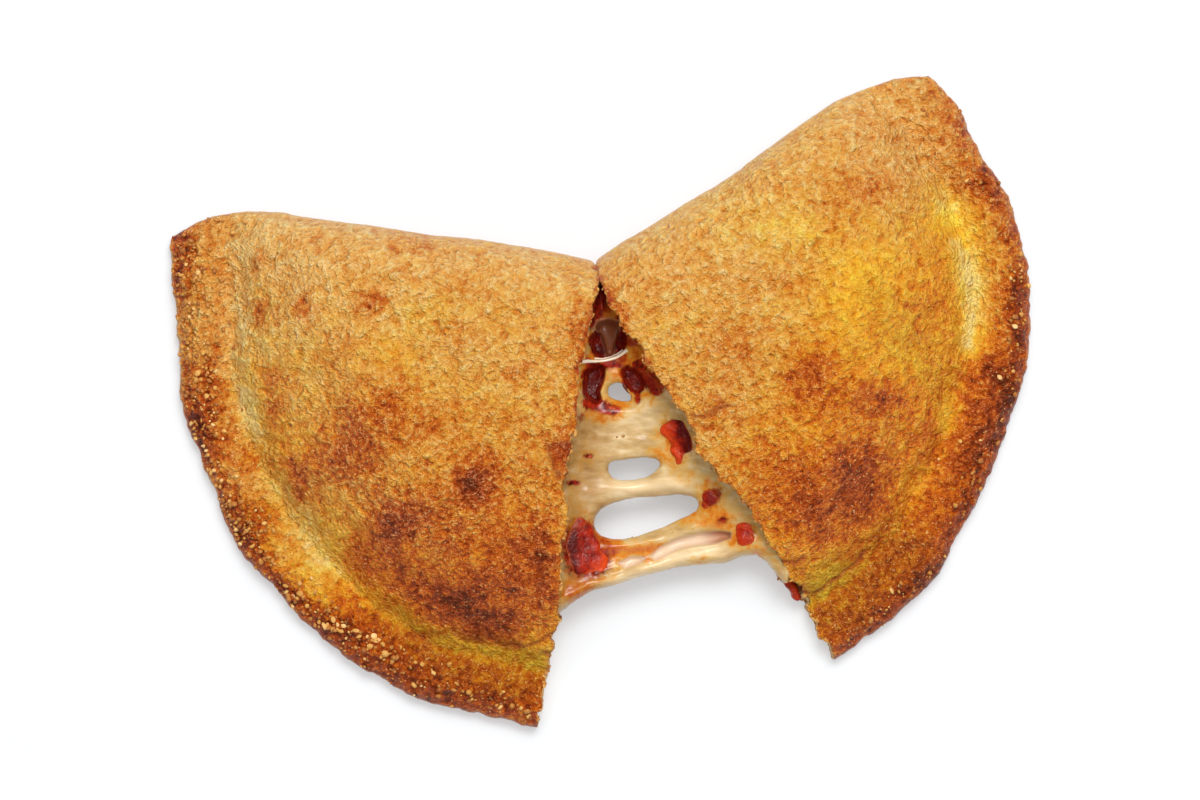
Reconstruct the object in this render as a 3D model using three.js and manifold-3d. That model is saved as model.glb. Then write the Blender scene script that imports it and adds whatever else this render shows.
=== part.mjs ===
// A baked panzerotto, torn from its sealed edge up to the fold and opened like a book.
// One folded sheet of dough makes the crust. Mozzarella and tomato sauce run through both pockets,
// and the mozzarella is drawn out into a web across the tear.
// Millimetres, +Z up, lying on the XY plane.
import * as THREE from "three";
import Module from "manifold-3d";

const wasm = await Module();
wasm.setup();

// ---------------------------------------------------------------- driving dimensions
const HINGE = new THREE.Vector2(-1.6, 43.3); // middle of the fold, where the two halves stay joined
const RIM_WIDTH = 18; // pressed band along the open side
const RIM_HEIGHT = 10.5; // top of the pressed band
const GROOVE_HEIGHT = 8.8; // valley between the band and the filled dome
const EDGE_HEIGHT = 4; // height at which the band's outer edge is widest
const DOME_HEIGHT = 34; // top of the filled part
const DOME_RUN = 48; // how far the dome takes to rise from the groove
const DOME_CURVE = 1.75; // how much steeper the dome is at the groove than on average
const FOLD_RUN = 20; // how far the rounded fold takes to reach the top
const FOLD_MIDDLE = 10; // height at which the fold is widest, at the hinge
const FOLD_MIDDLE_CORNER = 4.5; // the same at the corner
const TOP_CRUST = 5.5; // thickness of the upper wall
const BASE_CRUST = 5.5; // height of the pocket's floor
const BASE_ARCH = 0.6; // how far the underside stands off the table between the spots it rests on
const SPOT_FLAT = 10; // radius of each flat spot that it rests on
const SPOT_RISE = 14; // how far the underside takes to rise beyond a spot
const FOLD_CRUST = 7.5; // thickness of the wall at the fold
const TEAR_LENGTH = 140; // span of the values that describe the torn edge
const NECK = 7; // unbroken dough left at the fold, from the hinge to the start of the tear
const SAUCE_TOP = 9.2; // top of the sauce that lies on the lower wall
const GAP = 0.3; // clearance between touching pieces
const FILLING_INSET = 0.9; // clearance of the mozzarella under the upper wall
const SAUCE_INSET = 3; // the same for the sauce, which stops short of the wall all round
const MOUTH = 3.2; // how far the mozzarella bulges out of each torn mouth
const WEB_MIDDLE = 14; // height of the web's mid surface at mid span
const WEB_MOUTH = 17; // the same where it leaves the mouths
const WEB_THIN = 3.6; // thickness of the web at mid span
const WEB_THICK = 9; // the same at the mouths

// Each half is a quarter of the dough round. fold and turn give its direction from the hinge, in degrees.
// rim holds the radius at equal steps from the fold to the tear. The fold's contour is raised by lift
// between two distances from the hinge, ripples a little, and turns in towards the corner beyond
// turnFrom. tear holds how far the torn edge stands back at equal steps from the hinge to the rim.
const HALVES = {
  left: {
    fold: 172.3, span: 90.4, turn: 1, dome: 1.0,
    rim: [131.5, 132.6, 131.4, 134, 137.2, 138.4, 141.4, 142.9, 144.3, 145.4, 146.6, 145.6, 144.6],
    foldLift: { size: 1.6, from: 0, to: 20, wave: 0.3, phase: 0.9, turnFrom: 100, turnIn: 11.5 },
    tear: [-0.6, -0.9, -0.6, -0.8, -1.6, -2.6, -2.6, -1.2], lowerLip: 1.4,
  },
  right: {
    fold: 32.3, span: 89.9, turn: -1, dome: 0.97,
    rim: [118.6, 121.4, 124.4, 129.2, 133.2, 136.3, 138, 139.2, 140.2, 142.2, 145, 144.7, 144.2],
    foldLift: { size: 2.2, from: 46, to: 92, wave: 0.4, phase: 2.4, turnFrom: 88, turnIn: 9.6 },
    tear: [-0.9, -3.2, -2.7, -2.8, -2.4, -0.9, 0, -1.8], lowerLip: 2.6,
  },
};

// The spots that each half rests on, in the half's own frame.
const SPOTS = [[32, 18], [104, 48], [42, 112]];

// Openings drawn in the web: centre, half length, half width and turn from +X in degrees.
const WEB_HOLES = [
  { x: 10.7, y: -21.7, long: 8.1, wide: 3.7, turn: 12 },
  { x: 13.9, y: -35.5, long: 15.8, wide: 6.1, turn: 12 },
];

// Tomato pieces: centre, half sizes and turn about Z in degrees.
const TOMATOES = {
  tomato_left: { at: [-4.4, -46.4, 18.5], half: [7.4, 9.4, 4.6], turn: -14, detail: 2 },
  tomato_right: { at: [24.6, -12, 19.5], half: [4.6, 7.2, 3.8], turn: 28, detail: 2 },
  tomato_upper: { at: [-0.8, 2.4, 17.6], half: [4.4, 5.4, 4.2], turn: -10, detail: 2 },
  tomato_front: { at: [46, -42.6, 17.2], half: [3.4, 4.2, 2.8], turn: -20, detail: 1 },
  tomato_lip: { at: [58.8, -57.8, 7.9], half: [1.8, 3.9, 1.8], turn: 32, detail: 1 },
};

// ---------------------------------------------------------------- small maths
const RAD = Math.PI / 180;
const clamp01 = (x) => Math.min(1, Math.max(0, x));
const mix = (a, b, t) => a + (b - a) * t;
const smooth = (t) => { t = clamp01(t); return t * t * (3 - 2 * t); };
const round = (t) => { t = clamp01(t); return Math.sqrt(1 - (1 - t) * (1 - t)); }; // quarter circle rising from 0

// Smooth curve through equally spaced values.
function curve(values, s) {
  const n = values.length - 1;
  const x = clamp01(s) * n, i = Math.min(n - 1, Math.floor(x)), f = x - i;
  const at = (k) => values[Math.min(n, Math.max(0, k))];
  const [p0, p1, p2, p3] = [at(i - 1), at(i), at(i + 1), at(i + 2)];
  return 0.5 * (2 * p1 + (p2 - p0) * f + (2 * p0 - 5 * p1 + 4 * p2 - p3) * f * f + (3 * p1 - p0 - 3 * p2 + p3) * f ** 3);
}

// ---------------------------------------------------------------- the shape of one half, in its own frame:
// a runs from the hinge along the fold, b from the hinge along the tear.
function rimRadius(half, a, b) {
  return curve(half.rim, Math.atan2(b, a) / RAD / half.span);
}

function foldLine(half, a) {
  const f = half.foldLift, inward = Math.max(0, (a - f.turnFrom) / (half.rim[0] - f.turnFrom));
  return f.turnIn * inward * inward - f.size * smooth((a - f.from) / (f.to - f.from))
    - f.wave * Math.sin(a / 9 + f.phase) * smooth(a / 20);
}

function tearLine(half, b) {
  return curve(half.tear, b / TEAR_LENGTH) + 0.5 * Math.sin(b / 4.3 + half.fold) * smooth(b / 12);
}

const foldMiddle = (a) => mix(FOLD_MIDDLE, FOLD_MIDDLE_CORNER, smooth((a - 55) / 65));

function topHeight(half, a, b) {
  const dr = rimRadius(half, Math.max(0, a), b) - Math.hypot(Math.max(0, a), b);
  const df = b - foldLine(half, a);
  let z;
  if (dr < RIM_WIDTH) {
    z = dr < 6
      ? EDGE_HEIGHT + (RIM_HEIGHT - EDGE_HEIGHT) * round(dr / 6)
      : mix(RIM_HEIGHT, GROOVE_HEIGHT, smooth((dr - 8) / (RIM_WIDTH - 8)));
  } else {
    const rise = 1 - (1 - clamp01((dr - RIM_WIDTH) / DOME_RUN)) ** DOME_CURVE;
    const lumps = 0.9 * Math.sin(a / 15 + 0.8) * Math.sin(b / 18 + 0.3) + 0.5 * Math.sin(a / 7.3 + b / 9.1);
    z = GROOVE_HEIGHT + (DOME_HEIGHT * half.dome - GROOVE_HEIGHT + lumps) * rise;
  }
  const e = foldMiddle(a);
  return e + (z - e) * round(df / FOLD_RUN);
}

function baseHeight(half, a, b) {
  const dr = rimRadius(half, Math.max(0, a), b) - Math.hypot(Math.max(0, a), b);
  const df = b - foldLine(half, a);
  const spot = Math.min(...SPOTS.map(([sa, sb]) => Math.hypot(a - sa, b - sb)));
  const arch = BASE_ARCH * smooth((spot - SPOT_FLAT) / SPOT_RISE);
  return Math.max(arch, EDGE_HEIGHT * (1 - round(dr / 4.5)), foldMiddle(a) * (1 - round(df / 9)));
}

function place(half, a, b, z) {
  const f = half.fold * RAD, t = (half.fold + half.turn * 90) * RAD;
  return new THREE.Vector3(
    HINGE.x + a * Math.cos(f) + b * Math.cos(t),
    HINGE.y + a * Math.sin(f) + b * Math.sin(t),
    z,
  );
}

// ---------------------------------------------------------------- closed solids
// A solid between an upper and a lower sheet, each given over the unit square. Where the sheets' borders
// meet they are joined, and elsewhere a wall closes them.
function sheetSolid(nu, nv, upper, lower) {
  const ids = new Map(), xyz = [], tri = [];
  const vertex = (p) => {
    const key = [p.x, p.y, p.z].map((c) => Math.round(c * 1e3)).join(",");
    if (!ids.has(key)) { ids.set(key, xyz.length / 3); xyz.push(p.x, p.y, p.z); }
    return ids.get(key);
  };
  const grid = (f) => Array.from({ length: nu + 1 }, (_, i) => Array.from({ length: nv + 1 }, (_, j) => vertex(f(i / nu, j / nv))));
  const up = grid(upper), low = grid(lower);
  const face = (a, b, c) => { if (a !== b && b !== c && a !== c) tri.push(a, b, c); };
  const quad = (a, b, c, d) => { face(a, b, c); face(a, c, d); };
  for (let i = 0; i < nu; i++)
    for (let j = 0; j < nv; j++) {
      quad(up[i][j], up[i + 1][j], up[i + 1][j + 1], up[i][j + 1]);
      quad(low[i][j], low[i][j + 1], low[i + 1][j + 1], low[i + 1][j]);
    }
  for (let i = 0; i < nu; i++) {
    quad(low[i][0], low[i + 1][0], up[i + 1][0], up[i][0]);
    quad(up[i][nv], up[i + 1][nv], low[i + 1][nv], low[i][nv]);
  }
  for (let j = 0; j < nv; j++) {
    quad(up[0][j], up[0][j + 1], low[0][j + 1], low[0][j]);
    quad(low[nu][j], low[nu][j + 1], up[nu][j + 1], up[nu][j]);
  }
  return solid(xyz, tri);
}

function solid(xyz, tri) {
  const v = (i) => new THREE.Vector3(xyz[3 * i], xyz[3 * i + 1], xyz[3 * i + 2]);
  let volume = 0;
  for (let i = 0; i < tri.length; i += 3) volume += v(tri[i]).dot(v(tri[i + 1]).cross(v(tri[i + 2])));
  const out = Uint32Array.from(tri);
  if (volume < 0) for (let i = 0; i < out.length; i += 3) [out[i + 1], out[i + 2]] = [out[i + 2], out[i + 1]];
  return new wasm.Manifold(new wasm.Mesh({ numProp: 3, vertProperties: Float32Array.from(xyz), triVerts: out }));
}

// A three.js geometry as a solid, after its shared corners are merged.
function fromGeometry(geometry) {
  const g = geometry.index ? geometry.toNonIndexed() : geometry;
  const p = g.getAttribute("position"), ids = new Map(), xyz = [], tri = [];
  for (let i = 0; i < p.count; i++) {
    const key = [p.getX(i), p.getY(i), p.getZ(i)].map((c) => Math.round(c * 1e3)).join(",");
    if (!ids.has(key)) { ids.set(key, xyz.length / 3); xyz.push(p.getX(i), p.getY(i), p.getZ(i)); }
    tri.push(ids.get(key));
  }
  const kept = [];
  for (let i = 0; i < tri.length; i += 3)
    if (tri[i] !== tri[i + 1] && tri[i + 1] !== tri[i + 2] && tri[i] !== tri[i + 2]) kept.push(tri[i], tri[i + 1], tri[i + 2]);
  return solid(xyz, kept);
}

// ---------------------------------------------------------------- crust
// s runs from the fold to the tear and t from the hinge to the rim.
function outlinePoint(half, s, t, lip) {
  const fold = (r) => Math.atan2(foldLine(half, r), Math.max(r, 1));
  const tear = (r) => Math.PI / 2 - Math.atan2(tearLine(half, r) - lip * smooth(r / 20), Math.max(r, 4));
  const phi = (r) => mix(fold(r), tear(r), s);
  let full = half.rim[0];
  for (let k = 0; k < 6; k++) full = rimRadius(half, Math.cos(phi(full)), Math.sin(phi(full)));
  const r = mix(1.2, full, t);
  return [r * Math.cos(phi(r)), r * Math.sin(phi(r))];
}

function outerSolid(half, nu, nv, grow) {
  const sheet = (height, lip, side) => (u, v) => {
    const s = u ** 1.15, t = 1 - (1 - v) ** 1.35; // closer steps at the fold and at the rim
    const [a, b] = outlinePoint(half, s, t, lip + grow);
    const edge = u === 0 || v === 1;
    const z = edge ? (topHeight(half, a, b) + baseHeight(half, a, b)) / 2 : height(half, a, b) + side * grow;
    return place(half, a, b, z);
  };
  return sheetSolid(nu, nv, sheet(topHeight, 0, 1), sheet(baseHeight, half.lowerLip, -1));
}

// The pocket's plan: p runs along the tear from the fold to the rim. q runs from the far end to the torn
// edge, and the last row lies beyond it by the distance mouth.
function pocketPlan(half, p, q, inset, mouth) {
  const edge = RIM_WIDTH + 1.6 + 2 * inset; // the thin border of a filling stays well clear of the wall
  const b = mix(FOLD_CRUST + inset, half.rim.at(-1) - edge, p);
  let deep = 120; // the far wall keeps the same distance from the rim all round
  for (let k = 0; k < 40; k++) deep = Math.sqrt(Math.max(0, (rimRadius(half, deep, b) - edge) ** 2 - b * b));
  const torn = tearLine(half, b);
  return q > 1 ? [torn - mouth, b] : [mix(Math.max(deep, torn + 0.5), torn + 0.2, q ** 0.85), b];
}

// Height of the pocket's roof: the upper wall keeps its thickness square to the surface.
function roofHeight(half, a, b, thickness) {
  const h = 2.5, z = topHeight(half, a, b);
  const lowest = Math.min(...[[h, 0], [-h, 0], [0, h], [0, -h]].map(([da, db]) => topHeight(half, Math.max(0, a + da), b + db)));
  return Math.min(lowest, z) - thickness;
}

function pocketSolid(half, inset, mouth) {
  const nu = 13, nv = 10, base = BASE_CRUST + (inset > 0 ? GAP : 0);
  const plan = (u, v) => pocketPlan(half, u, v < 1 ? (v * nv) / (nv - 1) : 2, inset, mouth);
  const upper = (u, v) => {
    const [a, b] = plan(u, v);
    const border = u === 0 || u === 1 || v === 0;
    return place(half, a, b, border ? base : Math.max(base + 0.02, roofHeight(half, Math.max(a, 0), b, TOP_CRUST + inset)));
  };
  const lower = (u, v) => place(half, ...plan(u, v), base);
  return sheetSolid(nu, nv, upper, lower);
}

// The unbroken dough across the tear beside the hinge.
function neckSolid(grow) {
  const { left, right } = HALVES;
  const from = left.fold + left.span - 8, to = 360 + right.fold - right.span + 8;
  const sheet = (height) => (u, v) => {
    const r = mix(1.0, NECK + grow, v), angle = mix(from, to, u) * RAD;
    const z = height(u < 0.5 ? left : right, 0, r);
    return new THREE.Vector3(HINGE.x + r * Math.cos(angle), HINGE.y + r * Math.sin(angle), z);
  };
  const over = (h, a, b) => mix(topHeight(left, a, b), topHeight(right, a, b), 0.5) - 0.2 + grow;
  const under = (h, a, b) => baseHeight(left, a, b) + 0.2 - grow;
  return sheetSolid(8, 5, sheet(over), sheet(under));
}

const outers = (grow) => [outerSolid(HALVES.left, 28, 14, grow), outerSolid(HALVES.right, 28, 14, grow)];
const [outerLeft, outerRight] = outers(0);
const crust = outerLeft.subtract(pocketSolid(HALVES.left, 0, 14))
  .add(outerRight.subtract(pocketSolid(HALVES.right, 0, 14)))
  .add(neckSolid(0));

// ---------------------------------------------------------------- filling
// Two points of the tear, one on each side, at the same distance from the hinge.
function spanPoint(b, q, z) {
  const { left, right } = HALVES;
  const l = place(left, tearLine(left, b) - 1.4, b, z), r = place(right, tearLine(right, b) - 1.4, b, z);
  return l.lerp(r, q);
}

function webSolid() {
  // The web's front border runs nearer the hinge at the right mouth than at the left one.
  const front = (q) => curve([115, 106, 105.2, 104.4, 104, 104.4, 106, 105.4, 118], q);
  const back = 9;
  const at = (u, v) => {
    const q = v, b = mix(back, front(q), u);
    const mouth = Math.abs(2 * q - 1) ** 2.2;
    const middle = mix(WEB_MIDDLE, WEB_MOUTH, mouth), half = mix(WEB_THIN, WEB_THICK, mouth) / 2;
    const rounded = 0.35 + 0.65 * round(Math.min(u, 1 - u) * 9);
    return { q, b, middle, half: half * rounded };
  };
  const upper = (u, v) => { const w = at(u, v); return spanPoint(w.b, w.q, w.middle + w.half); };
  const lower = (u, v) => { const w = at(u, v); return spanPoint(w.b, w.q, w.middle - w.half); };
  let web = sheetSolid(12, 10, upper, lower);
  for (const h of WEB_HOLES) {
    const g = new THREE.CylinderGeometry(1, 1, 40, 20).rotateX(Math.PI / 2).scale(h.long, h.wide, 1).rotateZ(h.turn * RAD).translate(h.x, h.y, 15);
    web = web.subtract(fromGeometry(g));
  }
  return web;
}

function tomatoSolid(t, grow) {
  const g = new THREE.IcosahedronGeometry(1, t.detail), p = g.getAttribute("position");
  for (let i = 0; i < p.count; i++) {
    const [x, y, z] = [p.getX(i), p.getY(i), p.getZ(i)];
    const lump = 1 + 0.09 * Math.sin(3.1 * x + 1.7 * y + t.at[0]) + 0.07 * Math.sin(4.3 * y - 2.9 * z + t.at[1]);
    p.setXYZ(i, x * lump * (t.half[0] + grow), y * lump * (t.half[1] + grow), z * lump * (t.half[2] + grow));
  }
  return fromGeometry(g.rotateZ(t.turn * RAD).translate(...t.at));
}

// Everything above, or below, a level.
const LAYER = 400;
const layer = (z) => fromGeometry(new THREE.BoxGeometry(LAYER, LAYER, LAYER).translate(0, 0, z + LAYER / 2));
const sauce = {
  left: pocketSolid(HALVES.left, SAUCE_INSET, 1.2).subtract(layer(SAUCE_TOP)),
  right: pocketSolid(HALVES.right, SAUCE_INSET, 1.2).subtract(layer(SAUCE_TOP)),
};
let web = webSolid();
for (const half of [...outers(GAP), neckSolid(GAP)]) web = web.subtract(half);
let mozzarella = pocketSolid(HALVES.left, FILLING_INSET, MOUTH).add(pocketSolid(HALVES.right, FILLING_INSET, MOUTH))
  .intersect(layer(SAUCE_TOP + GAP))
  .add(web)
  .subtract(neckSolid(GAP));

const tomatoes = {};
for (const [name, t] of Object.entries(TOMATOES)) {
  const room = tomatoSolid(t, GAP + 0.15);
  tomatoes[name] = tomatoSolid(t, 0);
  mozzarella = mozzarella.subtract(room);
  sauce.left = sauce.left.subtract(room);
  sauce.right = sauce.right.subtract(room);
}

// ---------------------------------------------------------------- scene graph
function mesh(name, made, material) {
  const m = made.getMesh(), n = m.numProp, xyz = new Float32Array(m.numVert * 3);
  for (let i = 0; i < m.numVert; i++) xyz.set(m.vertProperties.subarray(i * n, i * n + 3), i * 3);
  const g = new THREE.BufferGeometry()
    .setAttribute("position", new THREE.BufferAttribute(xyz, 3))
    .setIndex(new THREE.BufferAttribute(Uint32Array.from(m.triVerts), 1));
  g.computeVertexNormals();
  const piece = new THREE.Mesh(g, material);
  piece.name = name;
  return piece;
}

const finishes = {
  crust: new THREE.MeshStandardMaterial({ name: "crust", color: 0xd09448, roughness: 0.7, metalness: 0 }),
  mozzarella: new THREE.MeshStandardMaterial({ name: "mozzarella", color: 0xe2c698, roughness: 0.35, metalness: 0 }),
  sauce: new THREE.MeshStandardMaterial({ name: "sauce", color: 0x8c2410, roughness: 0.3, metalness: 0 }),
  tomato: new THREE.MeshStandardMaterial({ name: "tomato", color: 0xa42a12, roughness: 0.25, metalness: 0 }),
};

const panzerotto = new THREE.Group();
panzerotto.name = "panzerotto";
panzerotto.add(mesh("crust", crust, finishes.crust));
panzerotto.add(mesh("mozzarella", mozzarella, finishes.mozzarella));
panzerotto.add(mesh("sauce_left", sauce.left, finishes.sauce));
panzerotto.add(mesh("sauce_right", sauce.right, finishes.sauce));
for (const [name, made] of Object.entries(tomatoes)) panzerotto.add(mesh(name, made, finishes.tomato));

export default panzerotto;
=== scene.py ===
import math
import bpy
import numpy as np
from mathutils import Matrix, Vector


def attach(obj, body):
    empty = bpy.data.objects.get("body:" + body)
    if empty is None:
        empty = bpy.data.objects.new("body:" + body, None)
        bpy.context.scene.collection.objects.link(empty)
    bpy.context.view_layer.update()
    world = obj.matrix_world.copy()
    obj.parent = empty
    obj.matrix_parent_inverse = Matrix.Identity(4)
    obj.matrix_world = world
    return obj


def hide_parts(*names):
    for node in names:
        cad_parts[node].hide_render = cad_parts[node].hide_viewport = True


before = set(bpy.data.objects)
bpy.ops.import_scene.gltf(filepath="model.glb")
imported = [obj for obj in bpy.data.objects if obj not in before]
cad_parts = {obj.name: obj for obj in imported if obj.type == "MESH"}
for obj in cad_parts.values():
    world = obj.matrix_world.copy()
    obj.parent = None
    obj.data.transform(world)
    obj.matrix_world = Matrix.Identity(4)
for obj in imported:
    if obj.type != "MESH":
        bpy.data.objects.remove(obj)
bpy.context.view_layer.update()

# A baked panzerotto torn open at the fold. Shapes are worked out in millimetres and scaled to metres
# when a mesh is made. Crust, mozzarella, sauce and tomatoes stand for the CAD nodes of the same name.
MM = 0.001

# ------------------------------------------------------------------ noise
_rs = np.random.RandomState(11)
_perm = np.concatenate([_rs.permutation(256)] * 4)
_grad = _rs.normal(size=(256, 3))
_grad /= np.linalg.norm(_grad, axis=1)[:, None]
_cell = _rs.rand(256, 3)


def clamp(x, lo=0.0, hi=1.0):
    return np.minimum(hi, np.maximum(lo, x))


def mix(a, b, t):
    return a + (b - a) * t


def smooth(t):
    t = clamp(t)
    return t * t * (3 - 2 * t)


def rnd(t):
    t = clamp(t)
    return np.sqrt(np.maximum(0, 1 - (1 - t) ** 2))


def noise(x, y, z, size, seed=0.0):
    """Gradient noise, about -1 to 1, with features of about that size in mm."""
    p = np.stack([np.asarray(x) / size + seed * 7.13, np.asarray(y) / size + seed * 3.71, np.asarray(z) / size + seed * 5.37], -1)
    i = np.floor(p).astype(np.int64)
    f = p - i
    w = f * f * f * (f * (f * 6 - 15) + 10)
    i &= 255
    out = 0
    for dx in (0, 1):
        for dy in (0, 1):
            for dz in (0, 1):
                g = _grad[_perm[_perm[_perm[i[..., 0] + dx] + i[..., 1] + dy] + i[..., 2] + dz]]
                d = ((f - np.array([dx, dy, dz])) * g).sum(-1)
                k = (w[..., 0] if dx else 1 - w[..., 0]) * (w[..., 1] if dy else 1 - w[..., 1]) * (w[..., 2] if dz else 1 - w[..., 2])
                out = out + d * k
    return out * 1.6


def cells(x, y, size, seed=0):
    """Distance to the nearest of scattered points, in cell sizes, and a value that is the same over a cell."""
    p = np.stack([np.asarray(x) / size, np.asarray(y) / size], -1)
    i = np.floor(p).astype(np.int64)
    best = np.full(p.shape[:-1], 9.0)
    who = np.zeros(p.shape[:-1])
    for dx in (-1, 0, 1):
        for dy in (-1, 0, 1):
            c = i + np.array([dx, dy])
            h = _perm[_perm[(c[..., 0] + seed * 31) & 255] + (c[..., 1] & 255)]
            q = c + _cell[h][..., :2]
            d = np.sqrt(((p - q) ** 2).sum(-1))
            near = d < best
            best = np.where(near, d, best)
            who = np.where(near, _cell[h][..., 2], who)
    return best, who


def patch(x, y, spots, ripple=0.0, seed=1.0):
    """The sum of soft elliptical spots: (x, y, half width, half height, turn in degrees, strength)."""
    if ripple:
        x = x + ripple * noise(x, y, 0 * x, 7.0, seed) + 0.5 * ripple * noise(x, y, 0 * x, 3.0, seed + 1)
        y = y + ripple * noise(x, y, 0 * x, 7.0, seed + 2) + 0.5 * ripple * noise(x, y, 0 * x, 3.0, seed + 3)
    out = np.zeros(np.shape(x))
    for sx, sy, rx, ry, turn, k in spots:
        c, s = math.cos(math.radians(turn)), math.sin(math.radians(turn))
        u, v = ((x - sx) * c + (y - sy) * s) / rx, (-(x - sx) * s + (y - sy) * c) / ry
        out = out + k * np.exp(-(u * u + v * v) * 0.9)
    return out


def line_distance(x, y, points):
    """Distance to a polyline, and how far along it the nearest point lies, 0 to 1."""
    pts = np.array(points, float)
    seg = np.linalg.norm(np.diff(pts, axis=0), axis=1)
    at = np.concatenate([[0], np.cumsum(seg)]) / seg.sum()
    best, where = np.full(np.shape(x), 1e9), np.zeros(np.shape(x))
    for k in range(len(pts) - 1):
        (ax, ay), (bx, by) = pts[k], pts[k + 1]
        t = clamp(((x - ax) * (bx - ax) + (y - ay) * (by - ay)) / max(1e-9, seg[k] ** 2))
        d = np.hypot(x - ax - t * (bx - ax), y - ay - t * (by - ay))
        near = d < best
        best = np.where(near, d, best)
        where = np.where(near, mix(at[k], at[k + 1], t), where)
    return best, where


def side_of(x, y, points):
    """Signed distance to a polyline that runs left to right: positive above it."""
    pts = np.array(points, float)
    d, _ = line_distance(x, y, points)
    return np.where(y > np.interp(x, pts[:, 0], pts[:, 1]), d, -d)


# ------------------------------------------------------------------ meshes
def make_mesh(name, verts_mm, faces, attributes=None, material=None, smooth_shade=True):
    me = bpy.data.meshes.new(name)
    v = np.asarray(verts_mm, np.float32) * MM
    tris = [np.asarray(f, np.int32) for f in (faces if isinstance(faces, list) else [faces]) if len(f)]
    me.vertices.add(len(v))
    me.vertices.foreach_set("co", v.ravel())
    n_loops = sum(f.size for f in tris)
    n_faces = sum(len(f) for f in tris)
    me.loops.add(n_loops)
    me.polygons.add(n_faces)
    me.loops.foreach_set("vertex_index", np.concatenate([f.ravel() for f in tris]))
    totals = np.concatenate([np.full(len(f), f.shape[1], np.int32) for f in tris])
    me.polygons.foreach_set("loop_start", np.concatenate([[0], np.cumsum(totals)[:-1]]).astype(np.int32))
    me.update(calc_edges=True)
    me.validate()
    me.polygons.foreach_set("use_smooth", np.full(len(me.polygons), smooth_shade))
    for key, value in (attributes or {}).items():
        value = np.asarray(value, np.float32)
        if value.ndim == 2:
            a = me.attributes.new(key, "FLOAT_COLOR", "POINT")
            rgba = np.ones((len(v), 4), np.float32)
            rgba[:, : value.shape[1]] = value
            a.data.foreach_set("color", rgba.ravel())
        else:
            a = me.attributes.new(key, "FLOAT", "POINT")
            a.data.foreach_set("value", value)
    ob = bpy.data.objects.new(name, me)
    bpy.context.scene.collection.objects.link(ob)
    if material is not None:
        me.materials.append(material)
    return ob


def surface_nets(F, origin, h):
    """The surface where F, positive inside, crosses zero: vertices in mm and quads."""
    s = F > 0
    nx, ny, nz = F.shape
    corner = [(i, j, k) for i in (0, 1) for j in (0, 1) for k in (0, 1)]
    count = sum(s[i:nx - 1 + i, j:ny - 1 + j, k:nz - 1 + k].astype(np.int8) for i, j, k in corner)
    cell = np.argwhere((count > 0) & (count < 8))
    index = np.full((nx - 1, ny - 1, nz - 1), -1, np.int64)
    index[cell[:, 0], cell[:, 1], cell[:, 2]] = np.arange(len(cell))
    val = {c: F[cell[:, 0] + c[0], cell[:, 1] + c[1], cell[:, 2] + c[2]] for c in corner}
    pos, hits = np.zeros((len(cell), 3)), np.zeros(len(cell))
    for a in corner:
        for axis in range(3):
            if a[axis]:
                continue
            b = tuple(1 if k == axis else a[k] for k in range(3))
            fa, fb = val[a], val[b]
            cross = (fa > 0) != (fb > 0)
            t = np.where(cross, fa / np.where(cross, fa - fb, 1), 0)
            p = np.array(a, float)[None, :].repeat(len(cell), 0)
            p[:, axis] += t
            pos += np.where(cross[:, None], p, 0)
            hits += cross
    verts = (cell + pos / hits[:, None]) * h + np.asarray(origin)
    quads = []
    for axis in range(3):
        o1, o2 = [(1, 2), (2, 0), (0, 1)][axis]
        lo = [slice(None)] * 3
        hi = [slice(None)] * 3
        lo[axis], hi[axis] = slice(0, -1), slice(1, None)
        change = s[tuple(lo)] != s[tuple(hi)]
        at = np.argwhere(change)
        keep = (at[:, o1] > 0) & (at[:, o2] > 0) & (at[:, o1] < F.shape[o1] - 1) & (at[:, o2] < F.shape[o2] - 1)
        at = at[keep]
        inside = s[tuple(lo)][at[:, 0], at[:, 1], at[:, 2]]

        def cell_at(d1, d2):
            q = at.copy()
            q[:, o1] -= d1
            q[:, o2] -= d2
            return index[q[:, 0], q[:, 1], q[:, 2]]

        q = np.stack([cell_at(1, 1), cell_at(0, 1), cell_at(0, 0), cell_at(1, 0)], 1)
        q[~inside] = q[~inside][:, ::-1]
        quads.append(q)
    quads = np.concatenate(quads)
    return verts, quads[(quads >= 0).all(1)]


def relax(v, quads, times=1, k=0.5):
    n = len(v)
    e = np.concatenate([quads[:, [0, 1]], quads[:, [1, 2]], quads[:, [2, 3]], quads[:, [3, 0]]])
    e = np.concatenate([e, e[:, ::-1]])
    deg = np.bincount(e[:, 0], minlength=n)
    for _ in range(times):
        m = np.stack([np.bincount(e[:, 0], v[e[:, 1], c], n) for c in range(3)], 1) / np.maximum(1, deg)[:, None]
        v = mix(v, m, k)
    return v


def finish_piece(ob, slot, *nodes):
    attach(ob, "root")
    if nodes:
        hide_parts(*nodes)
    return ob


# ------------------------------------------------------------------ the crust's shape, as in the CAD model
HINGE = (-1.6, 43.3)
RIM_WIDTH, RIM_HEIGHT, GROOVE_HEIGHT, EDGE_HEIGHT = 18.0, 10.5, 8.8, 4.0
DOME_HEIGHT, DOME_RUN, DOME_CURVE, FOLD_RUN = 34.0, 48.0, 1.75, 20.0
FOLD_MIDDLE, FOLD_MIDDLE_CORNER = 10.0, 4.5
TOP_CRUST, BASE_CRUST, NECK = 5.0, 5.5, 5.4
SAUCE_TOP = 9.2

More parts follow.
